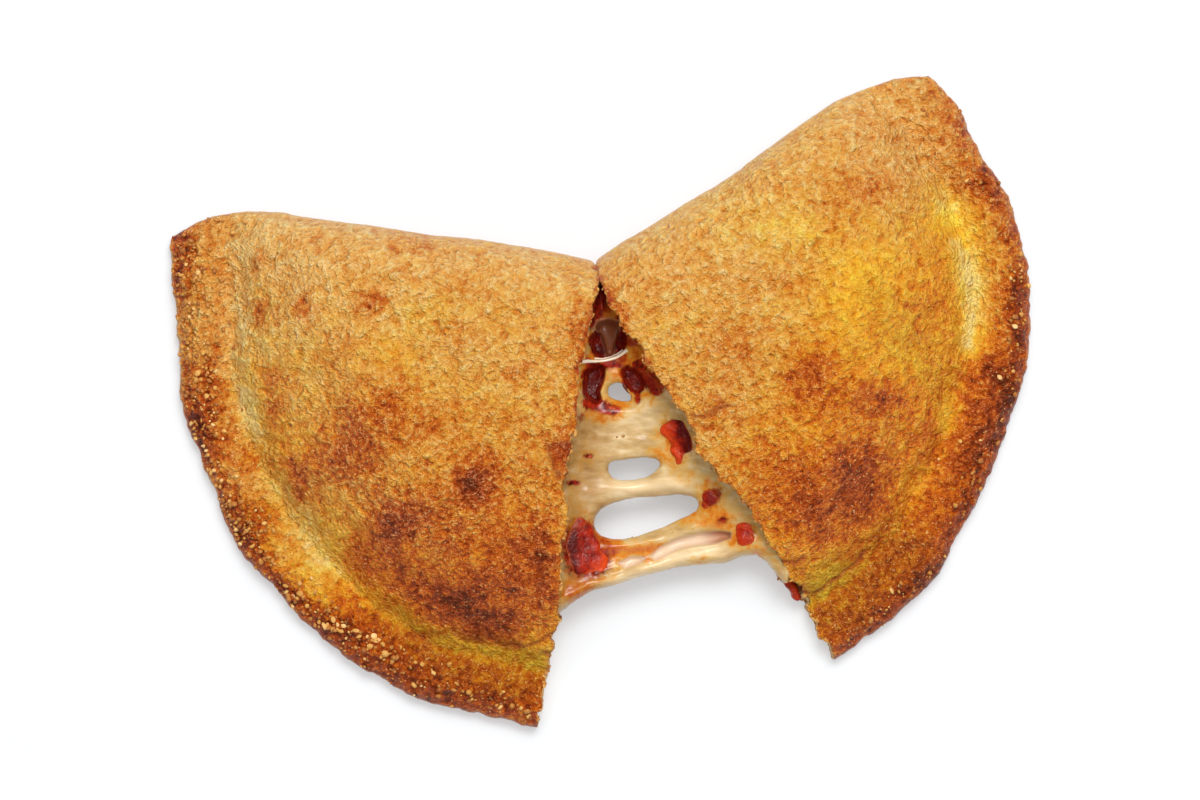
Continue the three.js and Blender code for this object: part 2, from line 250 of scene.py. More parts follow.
HALVES = {
    "left": dict(
        fold=172.3, span=90.4, turn=1, dome=1.0, lip=1.4,
        rim_at=[4.2, 5.7, 8.7, 11.7, 14.7, 17.7, 20.7, 23.7, 26.7, 29.7, 32.7, 35.7, 38.7, 41.7, 44.7, 47.7, 50.7, 53.7, 56.7, 59.7, 62.7, 68.7, 74.7, 80.7, 86.7, 89.7],
        rim=[131.9, 132.4, 132.1, 131.8, 130.9, 132.4, 132.6, 134.5, 136, 137.4, 136.8, 137.9, 138.4, 140.1, 141.5, 142.7, 142.6, 142.9, 144, 144.6, 145.2, 146, 146.8, 145.9, 145.4, 145.7],
        fold_at=[0, 10, 20, 30, 40, 50, 60, 70, 80, 90, 100, 110, 120, 125, 130, 132],
        fold_b=[0, -0.9, -1.5, -1.7, -1.9, -1.3, -1.4, -1.7, -1.6, -1.6, -1.9, -1.1, 1.9, 4.6, 8.2, 9.8],
        tear=[-1.0, -1.9, -1.9, -1.6, -0.9, -1.2, -0.5, 0.4, -0.6, -0.9, -1.3, -0.5, -0.6, -0.1, 0.0, -1.6, -2.3, -2.0, -2.0, -2.5, -2.7, -3.0, -3.3, -3.1, -3.0, -2.7, -2.4, -2.1, -1.8, -1.6, -1.6],
    ),
    "right": dict(
        fold=32.3, span=89.9, turn=-1, dome=0.97, lip=2.6,
        rim_at=[3.1, 5.3, 8.3, 11.3, 14.3, 17.3, 20.3, 23.3, 26.3, 29.3, 32.3, 38.3, 44.3, 50.3, 56.3, 62.3, 68.3, 71.3, 74.3, 80.3, 86.3, 89.3],
        rim=[119.4, 121.2, 122.8, 123.4, 124, 125.4, 127.9, 130.3, 131.8, 133.2, 135.1, 136.8, 138.2, 138.8, 139.2, 140.6, 141.3, 143, 144.9, 144.9, 144.3, 144.5],
        fold_at=[0, 10, 20, 30, 40, 50, 60, 70, 80, 90, 100, 110, 115, 119.4],
        fold_b=[0, -0.6, 0.1, -0.2, 0.1, 0.5, -0.6, -1.3, -1.7, -2.1, -0.5, 1.9, 4.1, 6.7],
        tear=[-1.0, -1.9, -2.8, -3.4, -3.7, -3.4, -2.9, -3.4, -2.7, -3.0, -2.6, -1.6, -2.8, -4.3, -4.6, -3.5, -2.6, -1.8, -0.4, -0.3, -0.7, -0.4, -0.5, -1.4, 0.2, -0.4, -1.4, -2.0, -1.9, -1.7, -1.7],
    ),
}


def place(h, a, b):
    f, t = math.radians(h["fold"]), math.radians(h["fold"] + h["turn"] * 90)
    return HINGE[0] + a * math.cos(f) + b * math.cos(t), HINGE[1] + a * math.sin(f) + b * math.sin(t)


def local(h, x, y):
    f, t = math.radians(h["fold"]), math.radians(h["fold"] + h["turn"] * 90)
    dx, dy = x - HINGE[0], y - HINGE[1]
    return dx * math.cos(f) + dy * math.sin(f), dx * math.cos(t) + dy * math.sin(t)


def rim_radius(h, a, b, rough=0.0):
    deg = np.degrees(np.arctan2(b, np.maximum(a, 1e-3)))
    r = np.interp(deg, h["rim_at"], h["rim"])
    if rough:
        r = r + 0.4
        q = deg * 2.4
        r = r + rough * (0.55 * noise(q, 0 * q, 0 * q + h["turn"], 9.0, 1) + 0.4 * noise(q, 0 * q, 0 * q + h["turn"], 3.6, 2) + 0.25 * noise(q, 0 * q, 0 * q + h["turn"], 1.7, 3))
    return r


def fold_line(h, a):
    return np.interp(a, h["fold_at"], h["fold_b"])


def tear_line(h, b, rough=0.0):
    x = np.interp(b, np.arange(31) * 5.0, h["tear"])
    if rough:
        s = 3.0 * h["turn"]
        x = x + rough * (1.0 if h["turn"] == 1 else 1.25) * smooth(b / 10) * (0.9 * noise(b, 0 * b, 0 * b + s, 5.2, 4) + 0.75 * noise(b, 0 * b, 0 * b + s, 2.6, 5) + 0.45 * noise(b, 0 * b, 0 * b + s, 1.4, 6))
        if h["turn"] == -1:
            x = x - rough * 1.1 * np.exp(-(((b - 104) / 6.0) ** 2))  # the torn skin laps over the end of the cheese
    return x


def fold_middle(a):
    return mix(FOLD_MIDDLE, FOLD_MIDDLE_CORNER, smooth((a - 55) / 65))


# Where the groove is pressed deeper than elsewhere.
VALLEY = [(-110.0, 24.0, 9.0, 20.0, -5, 0.36), (-107.0, -8.0, 11.0, 15.0, 8, 0.45), (-89.0, -46.0, 15.0, 11.0, -35, 0.6), (-35.0, -77.0, 26.0, 7.0, -12, 0.25), (110.0, 61.0, 10.0, 11.0, 20, 0.9), (115.0, 35.0, 9.0, 20.0, 0, 0.9)]


def top_height(h, a, b, dr=None):
    aa = np.maximum(a, 0)
    r = np.hypot(aa, b)
    x, y = place(h, a, b)
    wander = 2.0 * noise(x, y, 0 * x, 24, 8) + 1.0 * noise(x, y, 0 * x, 9, 9)
    dr = rim_radius(h, aa, b) - r if dr is None else dr
    df = b - fold_line(h, aa)
    groove = mix(GROOVE_HEIGHT + 1.1, GROOVE_HEIGHT - 1.4, clamp(patch(x, y, VALLEY)))
    edge = EDGE_HEIGHT + (RIM_HEIGHT - EDGE_HEIGHT) * rnd(dr / 9.5)
    low = edge + (groove - RIM_HEIGHT) * smooth((dr + wander - 8) / (RIM_WIDTH - 8))
    dome = mix(0.985, h["dome"], smooth((r - 8) / 30))
    run = dr + wander - RIM_WIDTH
    rise = 1 - (1 - clamp(run / DOME_RUN)) ** DOME_CURVE
    rise = rise * (0.6 + 0.4 * smooth(run / 7))
    lumps = 0.9 * np.sin(a / 15 + 0.8) * np.sin(b / 18 + 0.3) + 0.5 * np.sin(a / 7.3 + b / 9.1)
    high = groove + (DOME_HEIGHT * dome - groove + lumps * smooth((r - 8) / 30)) * rise
    z = np.where(dr + wander < RIM_WIDTH, low, high)
    # a narrow crease where the pressed band meets the filled part
    crease = np.exp(-(((dr + wander - RIM_WIDTH - 0.4) / 1.2) ** 2)) * smooth((df - 6) / 10)
    z = z - 0.45 * crease
    e = fold_middle(a)
    return e + (z - e) * rnd(df / FOLD_RUN)


def base_height(h, a, b, dr=None):
    aa = np.maximum(a, 0)
    dr = rim_radius(h, aa, b) - np.hypot(aa, b) if dr is None else dr
    df = b - fold_line(h, aa)
    x, y = place(h, a, b)
    uneven = 0.35 * smooth(0.5 + 1.2 * noise(x, y, 0 * x, 18, 12))
    return np.maximum(uneven, np.maximum(EDGE_HEIGHT * (1 - rnd(dr / 4.5)), fold_middle(a) * (1 - rnd(df / 9))))


def outline(h, s, t, lip):
    """The plan position for s from the fold to the tear and t from the hinge to the rim."""
    def fold_angle(r):
        return np.arctan2(fold_line(h, r), np.maximum(r, 1))

    def tear_angle(r):
        out = lip * smooth(r / 20) * (1 - 0.85 * smooth((r - (104 if h["turn"] == 1 else 121)) / 7))
        own = math.pi / 2 - np.arctan2(tear_line(h, r, 1.0) - out, np.maximum(r, 4))
        return mix(math.radians(111.5), own, smooth((r - NECK) / 3.2))

    def phi(r):
        return mix(fold_angle(r), tear_angle(r), s)

    full = np.full(np.shape(s), 140.0)
    for _ in range(6):
        full = rim_radius(h, np.cos(phi(full)), np.sin(phi(full)), 1.0)
    r = mix(0.5, full, t)
    return r * np.cos(phi(r)), r * np.sin(phi(r)), full - r


# ------------------------------------------------------------------ where the crust is browned, pale, yellowish or sandy, and where shade and light are painted on it
# Each spot is (x, y, half width, half height, turn in degrees, strength), in mm.
BROWN = [
    # left part
    (-70.1, -10.9, 11.4, 8.4, 15, 0.38), (-81.0, -20.2, 14.0, 10.0, -10, 0.34), (-37.3, -24.9, 7.2, 6.4, 0, 1.02), (-18.6, -31.0, 6.0, 10.0, 0, 0.22),
    (-63.8, -37.4, 7.5, 7.5, 0, 0.5), (-52.9, -36.0, 18.0, 10.0, -8, 0.44), (-18.0, -18.0, 7.0, 8.0, 0, 0.2), (-50.0, -46.0, 9.0, 5.0, 0, 0.18), (-62.3, -54.6, 14.0, 10.0, -20, 0.5),
    (-45.1, -65.5, 12.5, 7.0, -18, 0.84), (-28.0, -59.2, 14.0, 13.0, 20, 0.46), (-24.8, -45.2, 14.0, 9.5, 10, 0.3),
    (-65.4, 0.0, 15.6, 8.0, 0, 0.26), (-43.6, -9.3, 18.7, 9.4, 0, 0.24), (-57.6, 47.8, 6.5, 3.2, -8, 0.42),
    (-106.6, 43.1, 2.6, 2.8, 0, 0.5), (-116.9, 40.0, 4.4, 6.2, 0, 0.12), (-105.0, 27.5, 3.4, 3.6, 0, 0.5),
    (-91.9, 28.8, 3.4, 3.3, 0, 0.5), (-71.0, 30.6, 3.6, 3.0, 20, 0.55), (-101.0, 7.8, 4.7, 4.4, 0, 0.34),
    (-101.3, -3.1, 3.8, 4.7, 0, 0.4), (-26.4, 8.8, 4.4, 3.8, 0, 0.34), (-93.5, -26.5, 5.0, 7.0, 10, 0.42),
    (-76.3, -49.9, 5.0, 7.0, 20, 0.26), (-118.5, 25.0, 4.4, 11.0, 0, 0.1), (-10.8, -14.0, 4.2, 7.0, 0, 0.4),
    (-17.0, -49.9, 4.0, 15.0, 0, 0.32), (-13.0, -60.0, 5.0, 8.0, 0, 0.22), (-33.0, -73.0, 6.0, 4.0, -10, 0.3), (-85.0, 12.0, 5.0, 3.5, 0, 0.2),
    (-46.0, 22.0, 5.0, 4.0, 0, 0.15), (-78.0, 18.0, 4.0, 3.0, 0, 0.15), (-40.0, 34.0, 6.0, 4.0, 0, 0.12),
    (-131.5, 42.0, 5.0, 12.0, 0, 0.4), (-128.5, 8.0, 4.5, 22.0, 0, 0.08), (-125.5, -8.0, 5.0, 10.0, 10, 0.34), (-119.0, -40.0, 4.0, 6.0, 25, 0.1),
    (-120.0, 8.0, 3.5, 9.0, 0, 0.3), (-6.5, 22.0, 2.6, 16.0, 4, 0.4), (-8.5, 0.0, 2.6, 9.0, 0, 0.3), (-130.0, 52.0, 3.0, 4.0, 0, 0.3), (-89.0, 49.0, 10.0, 3.0, -5, 0.1),
    (-84.0, 0.0, 12.0, 9.0, 0, 0.04), (-38.0, -56.0, 9.0, 6.0, 0, 0.22), (-26.0, -66.0, 12.0, 7.0, 10, 0.2), (-36.0, -86.0, 24.0, 6.0, -14, 0.16), (-30.0, -94.0, 14.0, 3.0, -10, 0.12), (-104.0, -14.0, 6.0, 9.0, 15, 0.15),
    # right part
    (6.0, 27.0, 2.2, 10.0, 20, 0.35), (86.0, -2.0, 14.0, 12.0, 0, 0.14), (97.0, 49.0, 8.0, 9.0, 0, 0.14), (112.0, 3.0, 7.0, 13.0, 0, 0.12), (46.0, -40.0, 6.0, 9.0, -50, 0.16), (70.0, -46.0, 16.0, 7.0, -10, 0.16), (112.0, 86.0, 6.0, 6.0, 0, 0.22), (122.0, 18.0, 6.0, 14.0, 0, 0.14), (118.0, -8.0, 7.0, 10.0, -15, 0.14), (113.0, -22.0, 7.0, 16.0, -25, 0.12), (81.2, 65.6, 9.4, 4.7, 0, 0.34), (71.9, 57.8, 4.0, 8.0, 0, 0.2), (65.6, 11.0, 5.6, 4.4, 0, 0.42),
    (42.2, 15.6, 5.6, 6.2, 0, 0.22), (36.0, -3.1, 6.2, 6.2, 0, 0.26), (70.0, 2.0, 14.0, 8.0, -10, 0.36), (87.5, 1.6, 5.6, 4.4, 0, 0.5),
    (81.2, -18.7, 8.8, 7.2, 0, 0.5), (71.9, -26.0, 18.7, 11.5, -15, 0.42), (53.2, -24.9, 11.0, 9.4, 0, 0.3),
    (87.5, -32.7, 11.0, 7.8, 0, 0.26), (65.6, -37.4, 11.0, 7.8, 0, 0.34), (100.0, -12.5, 7.0, 9.4, 0, 0.36),
    (118.7, 67.1, 5.6, 4.4, 0, 0.42), (120.2, 7.8, 6.2, 4.4, 0, 0.46), (131.0, 28.0, 5.0, 16.0, 0, 0.5), (125.0, 60.0, 5.0, 12.0, 15, 0.3), (127.5, -2.0, 4.5, 12.0, -12, 0.5), (104.0, 96.0, 6.0, 3.5, -10, 0.08),
    (106.2, 84.3, 5.0, 12.5, 30, 0.1), (103.1, 28.0, 9.4, 12.5, 0, 0.22), (120.2, -9.3, 7.8, 15.6, -15, 0.36),
    (106.2, -43.7, 9.4, 12.5, -35, 0.04), (90.0, -42.0, 9.0, 8.0, -35, 0.2), (101.5, -56.1, 7.8, 4.7, 35, 0.22), (81.2, -68.6, 9.4, 6.2, 40, 0.1),
    (61.6, -59.2, 2.5, 4.4, 0, 0.35), (62.5, 3.1, 7.8, 12.5, 0, 0.18), (58.0, 36.0, 6.0, 5.0, 0, 0.12),
    (47.0, 66.0, 6.0, 3.5, 30, 0.12), (24.0, 40.0, 6.0, 5.0, 0, 0.1),
]
PALE = [
    (42.0, 46.0, 26.0, 20.0, 0, 0.16), (24.0, 30.0, 14.0, 14.0, 0, 0.1), (-92.0, 25.0, 18.0, 16.0, 0, 0.14), (-60.0, 30.0, 30.0, 18.0, 0, 0.06),
    # the groove of the left part
    (-118.0, -28.0, 8.0, 9.0, 20, 0.4), (-113.0, -36.0, 6.0, 7.0, 20, 0.3), (-112.0, 46.0, 6.0, 5.0, 0, 0.45), (-129.5, 8.0, 5.0, 24.0, 0, 0.2), (-110.8, 23.0, 2.2, 9.0, -6, 0.3), (-109.0, 17.2, 3.4, 5.6, 0, 0.12), (-108.6, -4.7, 4.4, 9.4, 8, 0.85),
    (-116.8, 12.5, 3.0, 7.0, 40, 0.4), (-104.2, -28.0, 4.4, 6.2, 20, 0.65), (-111.9, -24.9, 6.2, 3.0, -20, 0.35),
    (-93.1, -39.0, 4.0, 6.0, 25, 0.55), (-87.5, -49.9, 6.8, 5.0, -15, 1.0), (-74.4, -59.2, 7.5, 3.6, -30, 0.5),
    (-52.6, -71.7, 12.0, 3.2, -18, 0.3), (-31.0, -81.0, 12.0, 5.0, -5, 0.32), (-63.0, -67.0, 6.0, 3.0, -28, 0.3),
    (-126.0, 27.0, 7.0, 19.0, 0, 0.88), (-116.0, 18.0, 6.0, 10.0, 0, 0.12), (-90.0, -50.0, 10.0, 8.0, -38, 0.25), (-102.0, -45.0, 4.8, 9.0, 38, 0.9), (-87.0, -60.5, 8.0, 4.8, -38, 0.9),
    # the groove of the right part
    (108.7, 60.9, 4.4, 5.0, 0, 0.6), (114.0, 54.6, 5.5, 6.2, 20, 0.5), (116.4, 35.9, 4.2, 12.5, 0, 1.3),
    (115.6, 18.7, 3.8, 6.2, 0, 0.6), (107.8, -6.2, 3.8, 7.8, -10, 0.42), (96.9, -34.3, 6.2, 9.4, -20, 0.24),
    (71.9, -59.2, 8.8, 7.8, 0, 0.3), (57.8, 53.1, 9.0, 6.0, 0, 0.35), (104.0, 92.0, 8.0, 7.0, 0, 0.4),
]
# Yellowish patches; where they lift the yellowness above 1.1, on the grooves and lower rims, they also bring painted
# shade.
YELLOW_AND_SHADE = [
    (-63.8, 14.1, 7.8, 6.2, 0, 0.6), (-52.9, 26.6, 9.4, 6.2, 0, 0.5), (-32.6, 21.9, 12.5, 7.8, 0, 0.35),
    (-37.3, 40.6, 7.8, 6.2, 0, 0.35), (-87.2, 14.1, 9.4, 6.2, 0, 0.3), (-28.0, -34.3, 5.6, 3.8, 0, 0.35),
    (-102.8, -34.3, 6.2, 4.7, 0, 0.35), (-96.6, -15.6, 9.4, 9.4, 0, 0.45), (-71.6, -43.7, 7.0, 5.0, -25, 0.35),
    (-46.7, -74.8, 14.0, 4.7, -15, 0.45), (-28.0, -81.0, 13.0, 6.0, 0, 0.7), (-108.6, -4.7, 6.0, 12.0, 8, 0.4),
    (57.8, 53.1, 9.4, 6.2, 0, 0.6), (84.3, 34.4, 7.8, 11.0, 0, 0.5), (43.8, -15.6, 9.4, 12.5, 0, 0.3),
    (112.4, 56.2, 9.4, 7.8, 0, 0.7), (100.0, 15.6, 7.8, 18.7, 0, 0.45), (71.9, -59.2, 10.0, 9.0, 0, 0.8),
    (40.7, 53.1, 9.4, 7.8, 0, 0.25), (118.7, 15.6, 6.0, 10.0, 0, 0.5),
    (96.0, -38.0, 10.0, 10.0, 0, 0.4), (108.0, -3.0, 5.0, 10.0, 0, 0.5), (90.0, 20.0, 9.0, 13.0, 0, 0.3), (110.0, 36.0, 8.0, 16.0, 0, 0.2), (98.0, -50.0, 14.0, 10.0, -35, 0.6), (78.0, -66.0, 12.0, 7.0, 35, 0.4), (104.0, 64.0, 8.0, 10.0, 0, 0.3), (-110.0, 20.0, 10.0, 20.0, 0, 0.55), (-120.0, 30.0, 8.0, 14.0, 0, 0.2), (-30.0, -86.0, 26.0, 8.0, -10, 0.7), (74.0, -60.0, 15.0, 9.0, 30, 0.3), (-80.0, -36.0, 10.0, 8.0, 0, 0.3), (22.0, 24.0, 8.0, 8.0, 0, 0.2), (-43.0, -80.0, 18.0, 7.0, -15, 0.7), (-95.0, -52.0, 12.0, 6.0, -42, 0.1), (-66.0, -66.0, 14.0, 8.0, -28, 0.5), (78.0, -56.0, 14.0, 10.0, 30, 0.4),
]


# Pale creases along the groove: points, half width and strength.
STREAKS = [
    ([(-113.5, 34.4), (-112.2, 26.6), (-110.9, 20.3), (-110.3, 15.6)], 1.2, 0.9),
    ([(-120.6, 10.0), (-117.5, 8.1), (-114.4, 6.2)], 1.3, 0.7),
    ([(-112.8, 4.7), (-109.1, 0.0), (-107.5, -7.8), (-105.3, -12.4)], 3.0, 0.75),
    ([(-110.0, -1.0), (-108.2, -6.5), (-105.3, -12.4), (-103.5, -17.1)], 0.8, 0.7),
    ([(-98.5, -21.5), (-97.0, -26.0), (-96.0, -31.0)], 1.6, 0.5),
    ([(-91.9, -31.2), (-90.2, -36.5), (-89.7, -40.5), (-87.9, -48.3)], 1.2, 0.55),
    ([(-99.0, -36.0), (-94.0, -44.0), (-87.0, -51.0), (-79.0, -56.5)], 3.2, 0.45),
    ([(-54.5, -69.2), (-48.2, -72.3), (-43.6, -75.5), (-37.3, -77.3), (-28.0, -78.3), (-20.2, -78.6)], 0.9, 0.6),
    ([(108.7, 51.5), (113.1, 43.1), (116.2, 34.4), (116.5, 26.6), (115.0, 18.8), (116.2, 11.9)], 2.8, 0.85),
    ([(113.4, 44.0), (116.0, 36.0), (116.6, 28.0)], 1.1, 0.6),
    ([(106.8, -1.0), (108.4, -7.0), (107.6, -12.0)], 1.4, 0.35),
]


def streak(x, y):
    out = 0 * x
    wx, wy = x + 0.9 * noise(x, y, 0 * x, 4.0, 171) + 0.5 * noise(x, y, 0 * x, 1.8, 172), y + 0.9 * noise(x, y, 0 * x, 4.0, 173)
    broken = 0.75 + 0.6 * noise(x, y, 0 * x, 3.2, 174)
    for points, width, k in STREAKS:
        near = (x > min(p[0] for p in points) - 9) & (x < max(p[0] for p in points) + 9)
        if near.any():
            dist, at = line_distance(wx[near], wy[near], points)
            out[near] = np.maximum(out[near], k * np.exp(-((dist / width) ** 2)) * smooth(at * 6 + 0.2) * smooth((1 - at) * 6 + 0.2))
    return clamp(out * broken)


# Where the colour is a plainer tan.
TAN = [(-120.0, 40.0, 16.0, 30.0, 0, 0.5), (-85.0, 50.0, 40.0, 10.0, -5, 0.3), (-40.0, 42.0, 30.0, 8.0, -10, 0.25), (-118.0, -10.0, 8.0, 30.0, 0, 0.3), (108.0, 92.0, 14.0, 12.0, 0, 0.5),
       (20.0, 40.0, 20.0, 10.0, 30, 0.15), (126.0, 30.0, 6.0, 40.0, 0, 0.3), (-40.0, 20.0, 10.0, 8.0, 0, 0.2), (-20.0, 12.0, 8.0, 10.0, 0, 0.15), (96.0, 70.0, 12.0, 12.0, 0, 0.15), (92.0, 88.0, 18.0, 14.0, 0, 0.45)]


# Where coarse meal sticks to the crust: (x, y, half width, half height, turn, strength).
MEAL = [
    (-130.0, 42.0, 7.0, 10.0, 0, 1.2), (-127.0, 25.0, 6.0, 12.0, 0, 1.1), (-126.0, 5.0, 6.0, 14.0, 0, 1.0), (-124.0, -15.0, 5.0, 9.0, 12, 0.7), (-118.0, -32.0, 5.0, 8.0, 25, 0.8),
    (-110.5, -38.0, 6.0, 7.0, 25, 1.5), (-106.0, -48.0, 4.0, 5.0, 35, 0.9), (-97.0, -60.5, 6.0, 4.0, -30, 1.3), (-88.0, -64.0, 6.0, 6.0, 20, 0.6), (-82.0, -70.0, 5.0, 4.0, -30, 1.6),
    (-72.0, -75.0, 8.0, 4.0, -25, 0.8), (-58.0, -84.0, 8.0, 4.0, -20, 0.6), (-68.0, -86.0, 8.0, 3.0, -30, 0.7), (-45.0, -91.0, 12.0, 3.0, -15, 0.5), (-28.0, -95.0, 10.0, 3.0, -10, 0.5),
    (116.0, -30.0, 6.0, 12.0, -25, 0.5), (98.0, -58.0, 8.0, 5.0, 30, 0.4), (130.0, 10.0, 4.0, 20.0, 0, 0.35), (106.0, 94.0, 6.0, 5.0, 0, 0.5), (88.0, -70.0, 8.0, 5.0, 40, 0.3),
    (-118.0, 54.0, 8.0, 4.0, 0, 0.4), (-120.0, -3.0, 6.0, 20.0, 0, 0.2), (131.0, 40.0, 4.0, 18.0, 0, 0.3), (118.0, 72.0, 5.0, 8.0, 30, 0.3),
]


def crust_tone(h, x, y, z, dr, df, d):
    """How toasted, yellowish and rim-like the outside of the crust is. The first value also holds painted shade and
    light: darker in the hollows of the fine relief and on the rim's outer slope, lighter on the slopes near the fold.
    The second value, above 1.1, darkens the colour as painted shade.
    """
    left = h["turn"] == 1
    wob = 0.5 * noise(x, y, z, 9, 21) + 0.4 * noise(x, y, z, 4, 22) + 0.3 * noise(x, y, z, 1.9, 23)
    brown = patch(x, y, BROWN, 2.4, 31) * (1 + 0.55 * wob)
    pale = patch(x, y, PALE, 1.4, 35) * (1 + 0.4 * wob)
    # yellowness; where it goes above 1.1 the material darkens the colour as painted shade
    yellow_and_shade = 0.75 * patch(x, y, YELLOW_AND_SHADE, 2.2, 39) - patch(x, y, TAN, 3.0, 37) + ((0.20 + 0.24 * smooth((20 - y) / 20) + 0.5 * smooth((-30 - y) / 30)) if left else (0.28 + 0.6 * smooth((x + 0.25 * (20 - y) - 44) / 30) * smooth((76 - y) / 40) + 0.15 * smooth((-20 - y) / 60)))
    rim = smooth((RIM_WIDTH + 1.0 + 1.0 * smooth((-10 - y) / 40) - dr + 1.8 * noise(x, y, z, 12, 24)) / 5.0)
    # darker on the rim's outer slope: partly toasting of the thin edge, partly painted shade where the edge turns away
    # from the light
    outer = smooth((9.0 - dr + 1.2 * noise(x, y, z, 7, 25)) / 7.0)
    # higher value, so darker colour, towards the bottom of the view (low y)
    low = smooth((25 - y) / 95)
    meal = clamp(patch(x, y, MEAL, 1.5, 33)) * smooth((dr - 0.2) / 1.0)
    line = streak(x, y)
    t = 0.265 + 0.065 * low + 0.55 * brown - 0.26 * pale
    t = t + rim * (0.09 + 0.14 * low) + outer * (0.05 + 0.03 * low) + 0.02 * meal
    t = t + 0.06 * noise(x, y, z, 16, 26) + (0.055 + 0.05 * rim) * noise(x, y, z, 3.1, 27) + (0.035 + 0.02 * rim) * noise(x, y, z, 1.4, 28)
    # painted shade and light: darker in the hollows of the fine relief, lighter on its tops
    t = t - 0.20 * clamp(d, -0.8, 0.8)
    # painted light: lighter on the slopes near the fold that face the light, and a little darker right at the fold's
    # edge
    t = t + 0.03 * smooth((3.0 - df) / 3.0) - 0.05 * smooth((16 - df) / 14)
    if not left:
        t = t + 0.045 * smooth((62 - y) / 40)
    t = mix(t, 0.0, 0.9 * line)
    return clamp(t, 0.0, 1.0), clamp((yellow_and_shade - 0.2 * clamp(pale)) * (1 - 0.8 * line), 0, 1.8), meal * (1 - line)


CRACKS = {
    1: [[(-15.8, -12.8), (-14.4, -20), (-12.0, -25)], [(-11.5, -71), (-16, -73.5), (-23, -76.5), (-31, -76.3)], [(-18, -78), (-15, -80), (-14, -84)]],
    -1: [[(26.8, -4.2), (32, -5.5), (36, -2.5), (41.5, -1.2)], [(55, -49.5), (60, -51.0), (64.5, -48.5)], [(84, -46.5), (78, -52), (73, -56.5), (66, -61)]],
}


def relief(h, x, y, z, dr, df, r):
    """How far the outside stands out from the smooth shape, in mm, and the cracks and the torn-off skin."""
    zz = z * 0.6
    d = 0.60 * noise(x, y, zz, 11, 41) + 0.36 * noise(x, y, zz, 5.2, 42)
    pebble, size = cells(x + 0.7 * noise(x, y, zz, 4, 44), y + 0.7 * noise(x, y, zz, 4, 48), 2.9, 3)
    fine = 0.40 * noise(x, y, zz, 2.7, 43) + 0.62 * ((1 - (pebble / 0.8) ** 2) * (0.35 + 0.65 * size) - 0.35) + 0.24 * noise(x, y, zz, 1.7, 45)
    d = d + fine
    wrinkle = 1 - np.abs(noise(x * 0.8 + y * 0.6, (y * 0.8 - x * 0.6) * 0.45, zz, 4.6, 46))
    d = d + (0.30 if h["turn"] == -1 else 0.18) * (wrinkle - 0.8)
    blister, who = cells(x, y, 15.0, 9)
    d = d + 0.65 * smooth((0.30 - blister) / 0.30) * (who > 0.45)
    rim = smooth((RIM_WIDTH - dr) / 4.0)
    meal = clamp(patch(x, y, MEAL, 1.5, 33))
    d = d * (1 - 0.4 * clamp(patch(x, y, PALE))) + rim * (0.36 * noise(x, y, zz, 3.6, 47) + (0.22 + 0.3 * meal) * noise(x, y, zz, 1.9, 49))
    d = d * (0.25 + 0.75 * smooth(np.minimum(df, dr) / 1.5)) * mix(0.5, 1.0, smooth((r - 2) / 8))
    cut = 0 * x
    for k, c in enumerate(CRACKS[h["turn"]]):
        dist, at = line_distance(x + 0.6 * noise(x, y, zz, 3, 50 + k), y + 0.6 * noise(x, y, zz, 3, 60 + k), c)
        cut = np.maximum(cut, np.exp(-((dist / 0.6) ** 2)) * smooth((1 - np.abs(2 * at - 1)) * 5))
    skin = 0 * x
    if h["turn"] == 1:
        border = np.interp(y, [-31, -26, -21, -12.8], [-10.0, -11.5, -14.2, -15.8]) + 0.9 * noise(x, y, zz, 2.6, 66)
        skin = smooth((x - border) / 0.9) * smooth((-12.6 - y + 0.9 * noise(x, y, zz, 2.4, 67)) / 0.8) * smooth((y + 30) / 3)
    return d - 0.8 * cut - 1.0 * skin + 0.35 * streak(x, y), cut, skin, fine


def zipper(outer, inner):
    """Triangles between two closed loops of vertex numbers that run the same way from the same corner."""
    n, m = len(outer), len(inner)
    tris, i, j = [], 0, 0
    while i < n or j < m:
        if j >= m or (i < n and (i + 1) / n <= (j + 1) / m):
            tris.append((outer[i % n], outer[(i + 1) % n], inner[j % m]))
            i += 1
        else:
            tris.append((outer[i % n], inner[(j + 1) % m], inner[j % m]))
            j += 1
    return np.array(tris)


